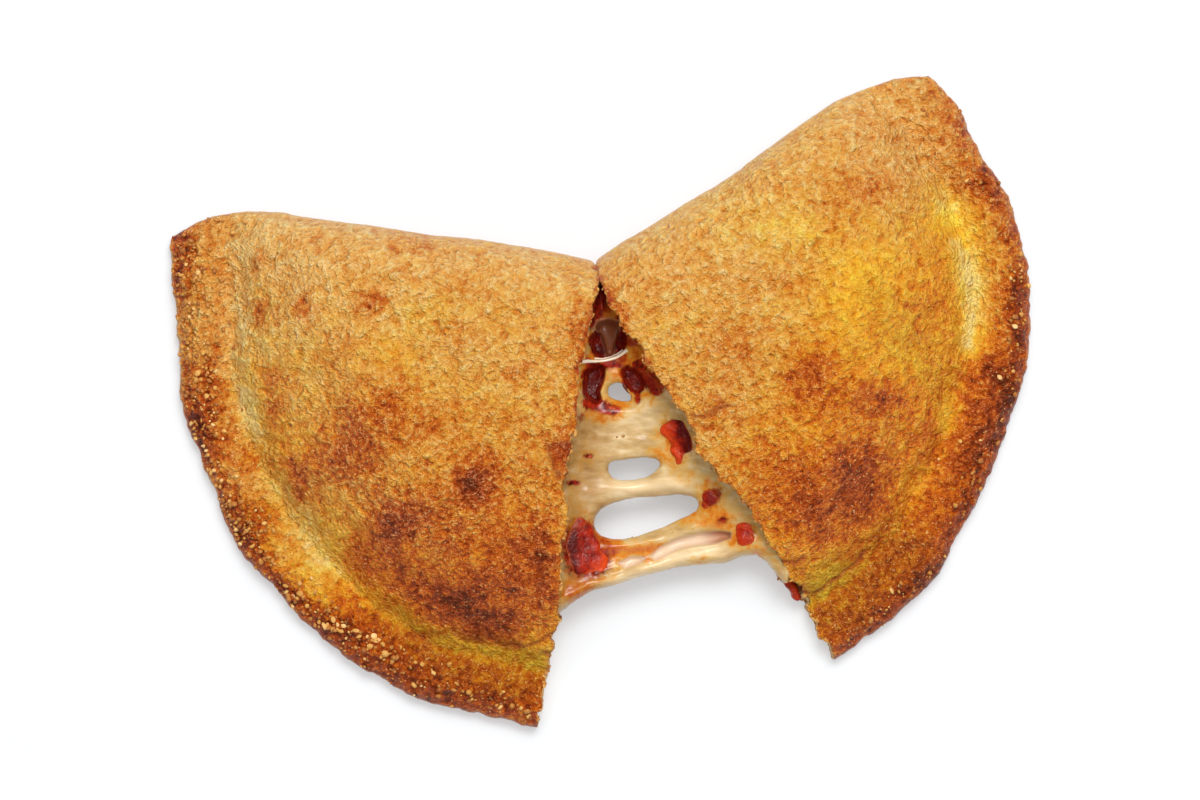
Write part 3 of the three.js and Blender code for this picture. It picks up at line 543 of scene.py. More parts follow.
def half_crust(h, N):
    """One half of the crust as a closed mesh: the outside, the torn face with its pocket, and the underside."""
    g = np.arange(N + 1) / N
    U, V = np.meshgrid(g, g, indexing="ij")  # u = 0 is the tear, v = 0 the fold, and u or v = 1 the rim

    def split(u, v):
        t = np.maximum(u, v)
        s = np.where(u >= v, 0.5 * v / np.maximum(u, 1e-9), 1 - 0.5 * u / np.maximum(v, 1e-9))
        return np.where(t > 0, s, 0.5), 1 - (1 - t) ** 1.12

    s, t = split(U, V)
    a, b, dr = outline(h, s, t, 0.0)
    df = b - fold_line(h, np.maximum(a, 0))
    x, y = place(h, a, b)
    z = top_height(h, a, b, dr)
    base = base_height(h, a, b, dr)
    z = np.where((V == 0) | (np.maximum(U, V) == 1), (z + base) / 2, z)
    P = np.stack([x, y, z], -1)
    n = np.cross(np.gradient(P, axis=0), np.gradient(P, axis=1))
    n /= np.maximum(1e-9, np.linalg.norm(n, axis=-1))[..., None]
    n = n * np.sign(n[N // 2, N // 2, 2])
    d, cut, skin, fine = relief(h, x, y, z, dr, df, np.hypot(a, b))
    toast_and_shade, yellow_and_shade, meal = crust_tone(h, x, y, z, dr, df, fine)
    P = P + n * d[..., None]
    torn = np.abs(a - tear_line(h, b))
    smear = smooth((1.6 - torn + 1.6 * noise(x, y, z, 2.4, 78)) / 1.2) * smooth((66 - np.hypot(a, b)) / 25) * smooth((noise(x, y, z, 5.5, 79) + 0.2) / 0.35)
    idx = np.arange((N + 1) ** 2).reshape(N + 1, N + 1)
    verts = [P.reshape(-1, 3)]
    quads = [np.stack([idx[:-1, :-1], idx[1:, :-1], idx[1:, 1:], idx[:-1, 1:]], -1).reshape(-1, 4)]
    tris = []
    tone = [np.stack([clamp(toast_and_shade + 0.18 * skin + 0.2 * smear), yellow_and_shade, meal, 0 * skin, cut, np.maximum(0.35 * skin, 0.75 * smear)], -1).reshape(-1, 6)]

    # the torn face: rows from the outside's edge down the break, round the pocket and out to the lower lip
    K, start = 30, (N + 1) ** 2
    top = P[0]
    at, bt = local(h, top[:, 0], top[:, 1])
    ab, bb, drb = outline(h, np.ones(N + 1), 1 - (1 - g) ** 1.12, h["lip"])
    zb = np.maximum(0.15, base_height(h, ab, bb, drb)) + 0.25
    wall = TOP_CRUST + 0.7 * noise(bt, 0 * g, 0 * g, 6, 71)
    roof = np.minimum(top[:, 2] - wall, 27.5)
    wide = smooth((roof - BASE_CRUST - 0.8) / 3.0) * smooth((bt - 8.0) / 4.0)
    roof = np.maximum(roof, BASE_CRUST + 0.6)
    deep = np.maximum(2.0, np.sqrt(np.maximum(0, (rim_radius(h, 100.0 + 0 * bt, bt) - 21) ** 2 - bt ** 2)))
    back = np.maximum(BASE_CRUST + 0.6, np.minimum(roof + 3, top_height(h, deep, bt) - TOP_CRUST))
    rows, inner = [], []
    for k in range(1, K + 1):
        f = k / K
        straight = np.stack([mix(at, ab, f), mix(bt, bb, f), mix(top[:, 2], zb, f)], -1)
        if k <= 8:
            q = k / 8
            pa, pz = at + 0.4 * np.sin(q * math.pi) + 0.5 * q, mix(top[:, 2], roof, q)
        elif k <= 14:
            q = ((k - 8) / 6) ** 1.6
            pa = mix(at + 0.5, deep, q)
            pz = mix(roof, np.maximum(BASE_CRUST + 0.6, np.minimum(roof + 3 * q, top_height(h, np.maximum(pa, 0), bt) - TOP_CRUST)), smooth(q * 4))
        elif k <= 16:
            pa, pz = deep, mix(back, BASE_CRUST, (k - 14) / 2)
        elif k <= 22:
            pa, pz = mix(deep, ab + 0.8, 1 - ((22 - k) / 6) ** 1.6), BASE_CRUST + 0 * g
        else:
            q = (k - 22) / (K - 22)
            pa, pz = mix(ab + 0.8, ab, smooth(q)), mix(BASE_CRUST + 0 * g, zb, q)
        row = mix(straight, np.stack([pa, mix(bt, bb, f), pz], -1), wide[:, None])
        rx, ry = place(h, row[:, 0], row[:, 1])
        rz = row[:, 2]
        rough = smooth(bt / 9) * (1.0 if k < K else 0.3) * (0.5 if 9 < k < 22 else 1.0)
        push = 0.55 * noise(rx, ry, rz * 1.5 + 9 * h["turn"], 3.0, 72) + 0.42 * noise(rx, ry, rz * 1.5, 1.5, 73)
        ang = math.radians(h["fold"])
        rows.append(np.stack([rx - rough * push * math.cos(ang), ry - rough * push * math.sin(ang), rz + 0.3 * rough * noise(rx, ry, rz, 2.2, 74)], -1))
        inner.append(clamp(wide * clamp(1.5 - abs(k - 15) / 6.0)))
    W = np.stack(rows, 0)
    verts.append(W.reshape(-1, 3))
    w = np.concatenate([idx[0][None, :], start + np.arange(K * (N + 1)).reshape(K, N + 1)], 0)
    w[:, 0], w[:, -1] = idx[0, 0], idx[0, -1]  # both ends of the face close on a corner
    mid = w[:, 1:-1]
    quads.append(np.stack([mid[:-1, :-1], mid[:-1, 1:], mid[1:, 1:], mid[1:, :-1]], -1).reshape(-1, 4))
    tris.append(np.stack([w[:-1, 1], w[1:, 1], w[:-1, 0]], -1))
    tris.append(np.stack([w[:-1, -2], w[1:, -2], w[:-1, -1]], -1))
    sauce = np.maximum(np.stack(inner, 0), 0.7 * (smooth((66 - bt) / 25) * clamp(0.6 + 1.2 * noise(top[:, 0], top[:, 1], 0 * bt, 5.5, 79)))[None, :])
    depth = np.repeat((np.arange(1, K + 1) / K)[:, None], N + 1, 1)
    skinned = np.exp(-depth * K / 1.5)  # the baked skin shows as a thin line along the top of the break
    lip = smooth((depth - 0.72) / 0.2)  # and again where the lower wall ends
    tone.append(np.stack([0.45 * skinned + 0.25 + 0.25 * lip + 0 * sauce, 0.3 + 0.5 * lip + 0 * sauce, 0 * sauce, (1 - 0.7 * skinned) * (1 - 0.75 * lip), 0 * sauce, sauce * (1 - lip)], -1).reshape(-1, 6))

    # the underside: rings that follow the outline, then a coarser middle
    e = g[:-1]
    loop_uv = np.concatenate([np.stack([e, 0 * e], 1), np.stack([0 * e + 1, e], 1), np.stack([1 - e, 0 * e + 1], 1), np.stack([0 * e, 1 - e], 1)])
    ij = np.rint(loop_uv * N).astype(int)
    prev = idx[ij[:, 0], ij[:, 1]].copy()
    prev[3 * N + 1:] = w[-1][::-1][1:-1]
    count = start + K * (N + 1)
    inset = [0.004, 0.011, 0.022, 0.038, 0.06]

    def under(uu, vv):
        su, tu = split(uu, vv)
        ua, ub, ur = outline(h, su, tu, h["lip"])
        ux, uy = place(h, ua, ub)
        uz = base_height(h, ua, ub, ur)
        return np.stack([ux, uy, np.maximum(0, uz + 0.3 * smooth(uz / 2) * noise(ux, uy, uz, 2.6, 75))], -1), ua, ub, ur

    for o in inset:
        uv = o + (1 - 2 * o) * loop_uv
        ring, ra, rb, rr = under(uv[:, 0], uv[:, 1])
        ring[3 * N:, 2] = np.maximum(ring[3 * N:, 2], 0.3 * (1 - smooth(o / 0.02)))
        ids = count + np.arange(len(uv))
        quads.append(np.stack([prev, ids, np.roll(ids, -1), np.roll(prev, -1)], -1))
        verts.append(ring)
        rx, ry, rz = ring.T
        t0, y0, r0 = crust_tone(h, rx, ry, rz - 60, rr, rb - fold_line(h, ra), 0 * rx)
        tone.append(np.stack([clamp(0.40 + 0.3 * (t0 - 0.33)), 0 * rx + 0.2, 0 * rx + 0.2, 0 * rx, 0 * rx, 0 * rx], -1))
        prev = ids
        count += len(uv)
    M = 40
    o = inset[-1] + 0.012
    gm = o + (1 - 2 * o) * np.arange(M + 1) / M
    plate, pa, pb, pr = under(*np.meshgrid(gm, gm, indexing="ij"))
    cid = count + np.arange((M + 1) ** 2).reshape(M + 1, M + 1)
    quads.append(np.stack([cid[:-1, :-1], cid[:-1, 1:], cid[1:, 1:], cid[1:, :-1]], -1).reshape(-1, 4))
    verts.append(plate.reshape(-1, 3))
    px, py, pz = plate.reshape(-1, 3).T
    char = clamp(0.36 + 0.28 * noise(px, py, pz, 17, 81) + 0.16 * noise(px, py, pz, 7, 82) + 0.1, 0.1, 1)
    tone.append(np.stack([char, 0.15 + 0 * px, 0.1 + 0 * px, 0 * px, 0 * px, 0 * px], -1))
    tris.append(zipper(prev, np.concatenate([cid[:-1, 0], cid[-1, :-1], cid[:0:-1, -1], cid[0, :0:-1]])))
    skin_points = dict(P=P[1:-1, 1:-1].reshape(-1, 3), n=n[1:-1, 1:-1].reshape(-1, 3), dr=dr[1:-1, 1:-1].ravel(), df=df[1:-1, 1:-1].ravel())
    return np.concatenate(verts), np.concatenate(quads), np.concatenate(tris), np.concatenate(tone), skin_points, W


def face_out(ob):
    import bmesh
    bm = bmesh.new()
    bm.from_mesh(ob.data)
    loose = [v for v in bm.verts if not v.link_faces]
    bmesh.ops.delete(bm, geom=loose, context="VERTS")
    bmesh.ops.recalc_face_normals(bm, faces=bm.faces)
    bm.to_mesh(ob.data)
    bm.free()


# ------------------------------------------------------------------ materials
def srgb(r, g, b):
    return tuple(((c / 255 + 0.055) / 1.055) ** 2.4 if c > 10 else c / 255 / 12.92 for c in (r, g, b)) + (1.0,)


class Nodes:
    """Short names for building a material."""

    def __init__(self, name):
        self.mat = bpy.data.materials.new(name)
        self.mat.use_nodes = True
        self.tree = self.mat.node_tree
        self.tree.nodes.clear()
        self.out = self.tree.nodes.new("ShaderNodeOutputMaterial")
        self.bsdf = self.tree.nodes.new("ShaderNodeBsdfPrincipled")
        self.tree.links.new(self.bsdf.outputs[0], self.out.inputs["Surface"])
        self.co = self.tree.nodes.new("ShaderNodeTexCoord").outputs["Object"]

    def link(self, a, b):
        self.tree.links.new(a, b)

    def put(self, socket, value):
        if hasattr(value, "is_output"):
            self.link(value, socket)
        else:
            socket.default_value = value

    def attr(self, name):
        n = self.tree.nodes.new("ShaderNodeAttribute")
        n.attribute_name = name
        return n.outputs["Fac"]

    def noise(self, size_mm, detail=2.0, rough=0.5, stretch=None, turn=0.0):
        n = self.tree.nodes.new("ShaderNodeTexNoise")
        n.inputs["Scale"].default_value = 1000.0 / size_mm
        n.inputs["Detail"].default_value = detail
        n.inputs["Roughness"].default_value = rough
        co = self.co
        if stretch:
            m = self.tree.nodes.new("ShaderNodeMapping")
            m.vector_type = "TEXTURE"
            m.inputs["Rotation"].default_value = (0.0, 0.0, math.radians(turn))
            m.inputs["Scale"].default_value = tuple(1 / q for q in stretch)
            self.link(co, m.inputs["Vector"])
            co = m.outputs[0]
        self.link(co, n.inputs["Vector"])
        return n.outputs["Fac"]

    def voronoi(self, size_mm):
        n = self.tree.nodes.new("ShaderNodeTexVoronoi")
        n.inputs["Scale"].default_value = 1000.0 / size_mm
        self.link(self.co, n.inputs["Vector"])
        return n.outputs["Distance"]

    def shifted(self, size_mm, by_mm):
        """The object's own coordinates, pushed about by noise."""
        n = self.tree.nodes.new("ShaderNodeTexNoise")
        n.inputs["Scale"].default_value = 1000.0 / size_mm
        self.link(self.co, n.inputs["Vector"])
        centre = self.tree.nodes.new("ShaderNodeVectorMath")
        centre.operation = "SUBTRACT"
        self.link(n.outputs["Color"], centre.inputs[0])
        centre.inputs[1].default_value = (0.5, 0.5, 0.5)
        push = self.tree.nodes.new("ShaderNodeVectorMath")
        push.operation = "MULTIPLY_ADD"
        self.link(centre.outputs[0], push.inputs[0])
        push.inputs[1].default_value = (by_mm * MM,) * 3
        self.link(self.co, push.inputs[2])
        return push.outputs[0]

    def math(self, op, a, b=0.0, c=0.0, clampit=False):
        n = self.tree.nodes.new("ShaderNodeMath")
        n.operation = op
        n.use_clamp = clampit
        for s, v in zip(n.inputs, (a, b, c)):
            self.put(s, v)
        return n.outputs[0]

    def span(self, v, lo, hi, to_lo=0.0, to_hi=1.0):
        n = self.tree.nodes.new("ShaderNodeMapRange")
        for s, q in zip(n.inputs, (v, lo, hi, to_lo, to_hi)):
            self.put(s, q)
        return n.outputs[0]

    def ramp(self, v, stops):
        n = self.tree.nodes.new("ShaderNodeValToRGB")
        el = n.color_ramp.elements
        while len(el) < len(stops):
            el.new(0.5)
        for e, (p, c) in zip(el, stops):
            e.position = p
            e.color = srgb(*c)
        self.put(n.inputs[0], v)
        return n.outputs[0]

    def blend(self, fac, a, b, mode="MIX"):
        n = self.tree.nodes.new("ShaderNodeMix")
        n.data_type = "RGBA"
        n.blend_type = mode
        ins = [s for s in n.inputs if s.type == "RGBA"]
        f = [s for s in n.inputs if s.type == "VALUE"][0]
        self.put(f, fac)
        self.put(ins[0], a)
        self.put(ins[1], b)
        return [s for s in n.outputs if s.type == "RGBA"][0]

    def bump(self, height, distance_mm, strength=1.0, after=None):
        n = self.tree.nodes.new("ShaderNodeBump")
        n.inputs["Distance"].default_value = distance_mm * MM
        n.inputs["Strength"].default_value = strength
        self.put(n.inputs["Height"], height)
        if after is not None:
            self.link(after, n.inputs["Normal"])
        return n.outputs[0]


TOAST = [(0.0, (248, 218, 146)), (0.2, (238, 179, 93)), (0.4, (220, 137, 50)), (0.55, (200, 97, 27)), (0.7, (168, 68, 16)), (0.85, (134, 49, 11)), (1.0, (95, 33, 8))]


def crust_material():
    m = Nodes("baked_crust")
    toast_and_shade, yellow_and_shade, meal = m.attr("toast_and_shade"), m.attr("yellow_and_shade"), m.attr("meal")
    plain = m.co
    m.co = m.shifted(2.0, 1.3)
    pebble, small, coarse = m.voronoi(1.9), m.voronoi(0.95), m.voronoi(1.55)
    m.co = m.shifted(1.2, 0.7)
    fold = m.math("ABSOLUTE", m.math("SUBTRACT", m.noise(2.1, 2.0, 0.5, (0.42, 1.0, 1.0), 38), 0.5))
    crease = m.math("ABSOLUTE", m.math("SUBTRACT", m.noise(1.5, 2.0, 0.5, (0.5, 1.0, 1.0), -28), 0.5))
    m.co = plain
    fine, grain = m.noise(1.0, 3.0, 0.65), m.noise(0.42, 2.0, 0.6)
    height = m.math("ADD", m.math("MULTIPLY", pebble, -0.50), m.math("MULTIPLY", small, -0.28))
    height = m.math("ADD", height, m.math("ADD", m.math("MULTIPLY", fold, -1.5), m.math("MULTIPLY", crease, -0.9)))
    height = m.math("ADD", height, m.math("MULTIPLY", fine, 0.75))
    height = m.math("ADD", height, m.math("MULTIPLY", grain, 0.36))
    height = m.math("ADD", height, m.math("MULTIPLY", meal, m.math("MULTIPLY", coarse, -0.9)))
    height = m.math("MULTIPLY", m.math("ADD", height, 0.02), m.span(yellow_and_shade, 0.45, 1.0, 1.05, 0.80))
    much = m.span(toast_and_shade, 0.25, 0.7, 0.60, 1.12)  # browner crust is more mottled, and its hollows are painted darker and its tops lighter, as shade and light
    t = m.math("MULTIPLY", height, -0.54)
    t = m.math("ADD", t, m.math("MULTIPLY", m.math("SUBTRACT", grain, 0.5), -0.46))
    t = m.math("ADD", t, m.math("MULTIPLY", m.math("SUBTRACT", m.noise(2.6, 2.0, 0.5), 0.5), 0.22))
    t = m.math("ADD", toast_and_shade, m.math("MULTIPLY", t, much))
    color = m.ramp(t, TOAST)
    hue = m.span(m.math("ADD", yellow_and_shade, m.math("MULTIPLY", m.math("SUBTRACT", m.noise(4.0, 4.0, 0.7), 0.5), 1.5)), 0.0, 1.0)
    color = m.blend(hue, color, m.blend(1.0, color, (1.0, 0.975, 0.2, 1.0), "MULTIPLY"))
    # painted shade: where the yellowness is above 1.1 the colour is darkened and dulled
    color = m.blend(m.span(yellow_and_shade, 1.1, 1.55), color, m.blend(1.0, color, (0.78, 0.89, 0.76, 1.0), "MULTIPLY"))
    # pale tops of the bumps: partly flour, partly painted highlight
    tip = m.span(m.math("ADD", height, m.math("MULTIPLY", m.math("SUBTRACT", grain, 0.5), 0.9)), 0.10, 0.38, 0.0, 0.30)
    color = m.blend(m.math("MULTIPLY", tip, m.span(hue, 0.0, 1.0, 1.0, 0.25)), color, srgb(250, 224, 178))
    # painted glints: small golden highlights, more of them on browner crust
    painted_glint = m.span(m.noise(0.8, 1.0, 0.5), 0.66, 0.74)
    color = m.blend(m.math("MULTIPLY", painted_glint, m.span(toast_and_shade, 0.25, 0.6, 0.3, 0.6)), color, srgb(248, 206, 130))
    crumb = m.ramp(m.noise(1.6, 3.0, 0.6), [(0.3, (226, 164, 84)), (0.5, (240, 196, 122)), (0.75, (248, 218, 158))])
    color = m.blend(m.attr("crumb"), color, crumb)
    color = m.blend(m.attr("cut"), color, srgb(170, 80, 30))
    color = m.blend(m.math("MULTIPLY", m.attr("sauce"), m.span(m.noise(4.0, 2.0), 0.3, 0.6, 0.5, 1.0)), color, srgb(170, 58, 20))
    m.link(color, m.bsdf.inputs["Base Color"])
    m.link(m.span(m.noise(3.0, 2.0), 0.3, 0.7, 0.30, 0.46), m.bsdf.inputs["Roughness"])
    m.bsdf.inputs["Specular IOR Level"].default_value = 0.33
    m.link(m.bump(height, 1.75, 1.0), m.bsdf.inputs["Normal"])
    return m.mat


def build_crust():
    N = 184
    parts, at = [half_crust(HALVES[k], N) for k in ("left", "right")], 0
    V, Q, T, A = [], [], [], []
    for v, q, t, tone, _, _ in parts:
        V.append(v)
        Q.append(q + at)
        T.append(t + at)
        A.append(tone)
        at += len(v)
    tone = np.concatenate(A)
    names = ("toast_and_shade", "yellow_and_shade", "meal", "crumb", "cut", "sauce")
    ob = make_mesh("crust_baked", np.concatenate(V), [np.concatenate(Q), np.concatenate(T)], {k: tone[:, i] for i, k in enumerate(names)}, crust_material())
    face_out(ob)
    return finish_piece(ob, "baked_crust", "crust"), parts


crust, crust_parts = build_crust()


# ------------------------------------------------------------------ the stretched cheese
BORDER = [(-30.0, -70.5), (-18.0, -67.6), (-12.4, -66.1), (-7.7, -62.4), (-2.4, -59.2), (5.1, -57.4), (12.6, -54.9), (23.8, -52.1), (31.3, -51.1), (38.8, -50.8),
          (43.8, -48.6), (48.5, -48.0), (51.8, -50.2), (54.4, -53.4), (57.2, -56.8), (58.4, -57.0), (59.4, -53.8), (70.0, -46.0)]
HOLE_SMALL = [(2.6, -21.8), (2.9, -19.9), (4.2, -19.0), (7.0, -18.7), (10.7, -18.1), (14.2, -17.9), (17.0, -18.2), (18.5, -19.1), (18.5, -20.5), (17.0, -22.4),
              (14.2, -24.0), (10.1, -24.8), (6.4, -24.9), (3.9, -24.1)]
HOLE_LARGE = [(-1.8, -38.6), (-1.1, -35.8), (0.7, -33.7), (3.9, -32.1), (7.9, -31.0), (12.6, -30.2), (17.3, -30.1), (21.3, -29.6), (25.1, -29.4), (28.2, -29.8), (30.1, -30.7),
              (30.7, -32.4), (30.1, -34.3), (27.6, -35.8), (23.8, -37.4), (20.1, -39.3), (15.7, -40.8), (11.3, -42.4), (7.0, -43.2), (3.2, -43.0), (0.4, -42.1), (-1.1, -40.5)]
HOLE_UPPER = [(2.6, 2.5), (2.9, 4.1), (4.2, 5.0), (5.7, 5.5), (7.0, 5.0), (8.2, 3.5), (9.5, 1.6), (9.5, 0.0), (7.6, -0.3), (5.1, 0.2), (3.2, 1.0)]
DENT_LEFT = [(-5.5, 5.0), (-4.6, 8.8), (-2.4, 10.7), (0.1, 11.3), (2.0, 10.0), (1.4, 6.3), (0.1, 2.5), (0.7, 0.0), (-1.1, -1.2), (-3.6, 0.0), (-5.2, 1.9)]
DENT_RIGHT = [(6.4, 9.4), (8.2, 10.7), (10.7, 10.0), (12.9, 8.2), (14.5, 5.7), (13.8, 3.2), (12.0, 1.6), (9.5, 2.5), (7.6, 5.7)]
DENT_TOP = [(-3.0, 17.2), (-1.8, 21.3), (0.1, 24.4), (3.2, 24.7), (6.4, 23.8), (8.5, 20.9), (8.5, 17.2), (7.0, 14.4), (3.9, 13.1), (0.1, 13.1), (-2.4, 14.7)]
BAND_TOP = [(-1.6, 22.6), (-0.8, 24.6), (2.5, 25.4), (6.2, 24.4), (5.9, 20.6), (5.0, 17.5), (4.0, 12.9), (1.9, 12.9), (1.5, 16.5), (0.4, 20.0)]
FILM_LONG = [(15.1, -48.6), (18.8, -45.5), (23.8, -43.0), (31.3, -41.1), (37.6, -40.5), (41.0, -41.1), (40.7, -43.0), (36.0, -44.6), (29.8, -45.2), (25.1, -46.1), (20.1, -48.6), (17.3, -49.9)]
FILM_SHORT = [(5.4, -50.5), (9.5, -48.6), (15.1, -48.6), (12.9, -50.5), (7.9, -52.4)]
# Strands: points, half width, and how far they stand out.
STRANDS = [
    ([(-14.9, -66.1), (-10.5, -61.7), (-3.0, -58.0), (5.1, -55.5), (15.1, -52.4), (23.8, -49.9), (31.3, -48.9), (38.8, -48.3), (45.4, -46.1), (50.0, -44.9)], 2.2, 1.5),
    ([(0.1, -46.1), (6.4, -45.2), (12.6, -44.3), (20.4, -43.0), (28.2, -39.9), (36.0, -37.4), (42.2, -35.8)], 1.8, 0.9),
    ([(-1.1, -53.6), (6.4, -51.4), (17.3, -48.6), (25.1, -46.4), (32.9, -45.2), (40.7, -43.3), (46.9, -42.4)], 1.2, 0.9),
    ([(-3.0, -28.0), (6.4, -27.1), (15.7, -26.2), (25.1, -25.5), (32.9, -24.3)], 2.2, 0.8),
    ([(-4.6, -6.2), (1.7, -3.7), (6.4, -4.3), (12.6, -3.7), (18.8, -1.2)], 2.0, 0.7),
    ([(-9.0, 10.8), (-6.8, 11.6), (-3.0, 12.0), (0.4, 12.0), (4.2, 12.6), (6.4, 13.4), (8.5, 14.9), (10.7, 16.5), (13.0, 18.4)], 1.1, 0.5),
]
STAIN = [
    (4.4, 7.8, 3.6, 2.2, 0, 0.9), (1.4, 4.6, 1.6, 3.6, 0, 0.4), (3.6, 27.0, 3.6, 3.0, 0, 0.9),
    (18.2, -17.1, 3.7, 2.5, 0, 0.8), (26.9, -23.7, 4.4, 2.2, 0, 0.5), (33.5, -26.2, 3.1, 2.5, 0, 0.7), (7.9, -46.4, 9.4, 2.8, 6, 0.75), (17.3, -45.5, 4.4, 1.6, 10, 0.45),
    (28.2, -35.5, 8.1, 3.7, 15, 0.8), (12.4, 16.4, 4.0, 4.6, -40, 1.2), (36.3, -37.4, 4.4, 3.1, 0, 0.9), (-7.7, -59.9, 4.6, 2.8, 20, 0.9), (0.1, -43.0, 4.4, 2.5, 0, 0.9), (-5.5, -40.5, 4.4, 2.8, 0, 0.9),
    (15.1, -49.9, 3.1, 1.2, 0, 0.7), (31.3, -50.3, 3.9, 1.4, 0, 0.9), (12.6, 10.7, 4.4, 3.1, -40, 0.9), (6.4, 10.7, 4.4, 2.2, 0, 0.9), (5.1, -1.2, 6.9, 2.8, 0, 0.9),
    (15.7, 1.6, 3.1, 2.8, 0, 0.8), (0.1, 21.9, 5.6, 6.2, 0, 0.6), (0.1, 28.7, 2.5, 4.4, 0, 1.0), (17.3, -10.9, 1.9, 1.9, 0, 0.5), (21.3, -9.9, 1.9, 6.2, 10, 0.8),
    (22.6, -19.3, 3.1, 1.9, 0, 0.7), (42.2, -43.6, 3.1, 2.5, 0, 0.8), (50.0, -47.4, 3.1, 1.9, 0, 0.4), (3.9, -47.4, 3.7, 5.0, 0, 0.9), (-3.0, -55.5, 8.1, 1.8, 10, 0.55), (-7.7, -59.5, 4.6, 2.6, 20, 0.6), (37.6, -36.8, 3.4, 4.4, 0, 0.5),
    (-3.6, -17.4, 3.7, 1.9, 0, 0.5), (-3.0, -1.5, 3.1, 2.5, 0, 0.6), (10.1, 1.6, 1.9, 2.5, 0, 0.9), (-5.0, -47.0, 7.4, 9.6, 0, 0.8), (25.0, -12.0, 4.6, 7.4, 25, 0.7),
    (45.0, -41.6, 4.2, 4.6, 0, 0.55), (35.2, -29.6, 4.4, 3.8, 0, 0.6), (15.9, -46.8, 5.0, 2.2, 4, 0.9), (3.4, -46.8, 3.0, 3.0, 0, 0.8), (43.0, -38.5, 6.0, 3.0, -30, 0.2),
    (-8.5, -31.0, 4.0, 14.0, 0, 0.4), (-3.6, -13.0, 3.6, 10.0, -8, 0.2), (54.0, -53.0, 5.0, 8.0, 30, 0.5), (48.5, -44.0, 3.0, 4.0, 0, 0.4), (22.0, -30.5, 6.0, 1.4, 5, 0.4), (44.0, -30.0, 3.0, 6.0, 0, 0.3), (4.6, -4.6, 3.6, 2.2, 0, 0.9), (-0.5, -5.5, 3.4, 1.6, -15, 0.7),
]
RED = [
    (1.6, 10.4, 2.6, 1.8, 0, 0.7), (5.1, 12.2, 2.6, 1.2, 0, 0.45),
    (0.1, -1.6, 3.8, 2.2, -20, 1.0), (-3.6, -1.0, 2.2, 2.0, 0, 0.8), (-0.5, 31.2, 1.6, 4.4, 0, 0.9), (-3.0, 24.4, 1.6, 3.1, 0, 0.9), (16.3, 6.3, 3.4, 2.8, -40, 1.0), (17.9, 3.2, 2.2, 1.6, 0, 0.9), (-3.3, -17.4, 1.9, 1.2, 0, 0.8),
    (-8.3, -25.5, 2.8, 1.2, 0, 0.9), (38.2, -37.4, 1.9, 1.2, 0, 0.8), (5.1, 10.7, 3.1, 0.9, -10, 0.8), (4.5, -3.1, 2.5, 1.6, 0, 0.7), (11.7, 0.7, 1.6, 2.2, 0, 0.8),
    (13.5, 11.9, 1.6, 1.9, 0, 0.5), (-6.8, -45.5, 6.0, 9.0, -6, 1.0), (-1.2, -50.2, 5.2, 4.6, 0, 0.9), (24.8, -11.6, 3.8, 6.2, 25, 0.9), (45.2, -41.6, 3.0, 3.8, -14, 0.9),
    (35.2, -29.6, 3.2, 3.0, 10, 0.8), (33.4, -31.6, 1.8, 2.4, 0, 0.6), (-0.4, 27.0, 2.4, 3.4, 0, 0.7), (2.6, 31.5, 3.6, 4.0, 15, 0.7), (-3.8, 13.0, 1.6, 3.0, 0, 0.5), (-5.8, -5.2, 2.4, 1.6, 0, 0.6),
]
# Paler strands and edges of the cheese, and some painted highlights on it: (x, y, half width, half height, turn,
# strength).
CREAM_AND_HIGHLIGHT = [
    (15.7, -26.8, 17.2, 2.2, 4, 0.9), (6.4, -4.9, 5.0, 1.9, 0, 0.7), (14.2, -2.1, 3.1, 2.5, 0, 0.5), (31.3, -32.1, 4.4, 1.9, 0, 0.3), (12.6, -54.6, 15.6, 1.9, 14, 0.8),
    (31.3, -47.4, 9.4, 1.6, 10, 0.9), (21.3, -48.6, 6.2, 1.6, 14, 0.8), (40.7, -31.2, 4.4, 2.5, -10, 0.4), (3.2, -37.4, 1.6, 4.4, 0, 0.4), (6.4, -25.9, 6.2, 1.6, 0, 0.4),
]


def inside(x, y, outline_points):
    """Signed distance to a closed outline, positive inside."""
    pts = list(outline_points) + [outline_points[0]]
    d, _ = line_distance(x, y, pts)
    odd = np.zeros(np.shape(x), bool)
    for (ax, ay), (bx, by) in zip(pts, pts[1:]):
        if ay != by:
            odd ^= ((ay > y) != (by > y)) & (x < (bx - ax) * (y - ay) / (by - ay) + ax)
    return np.where(odd, d, -d)


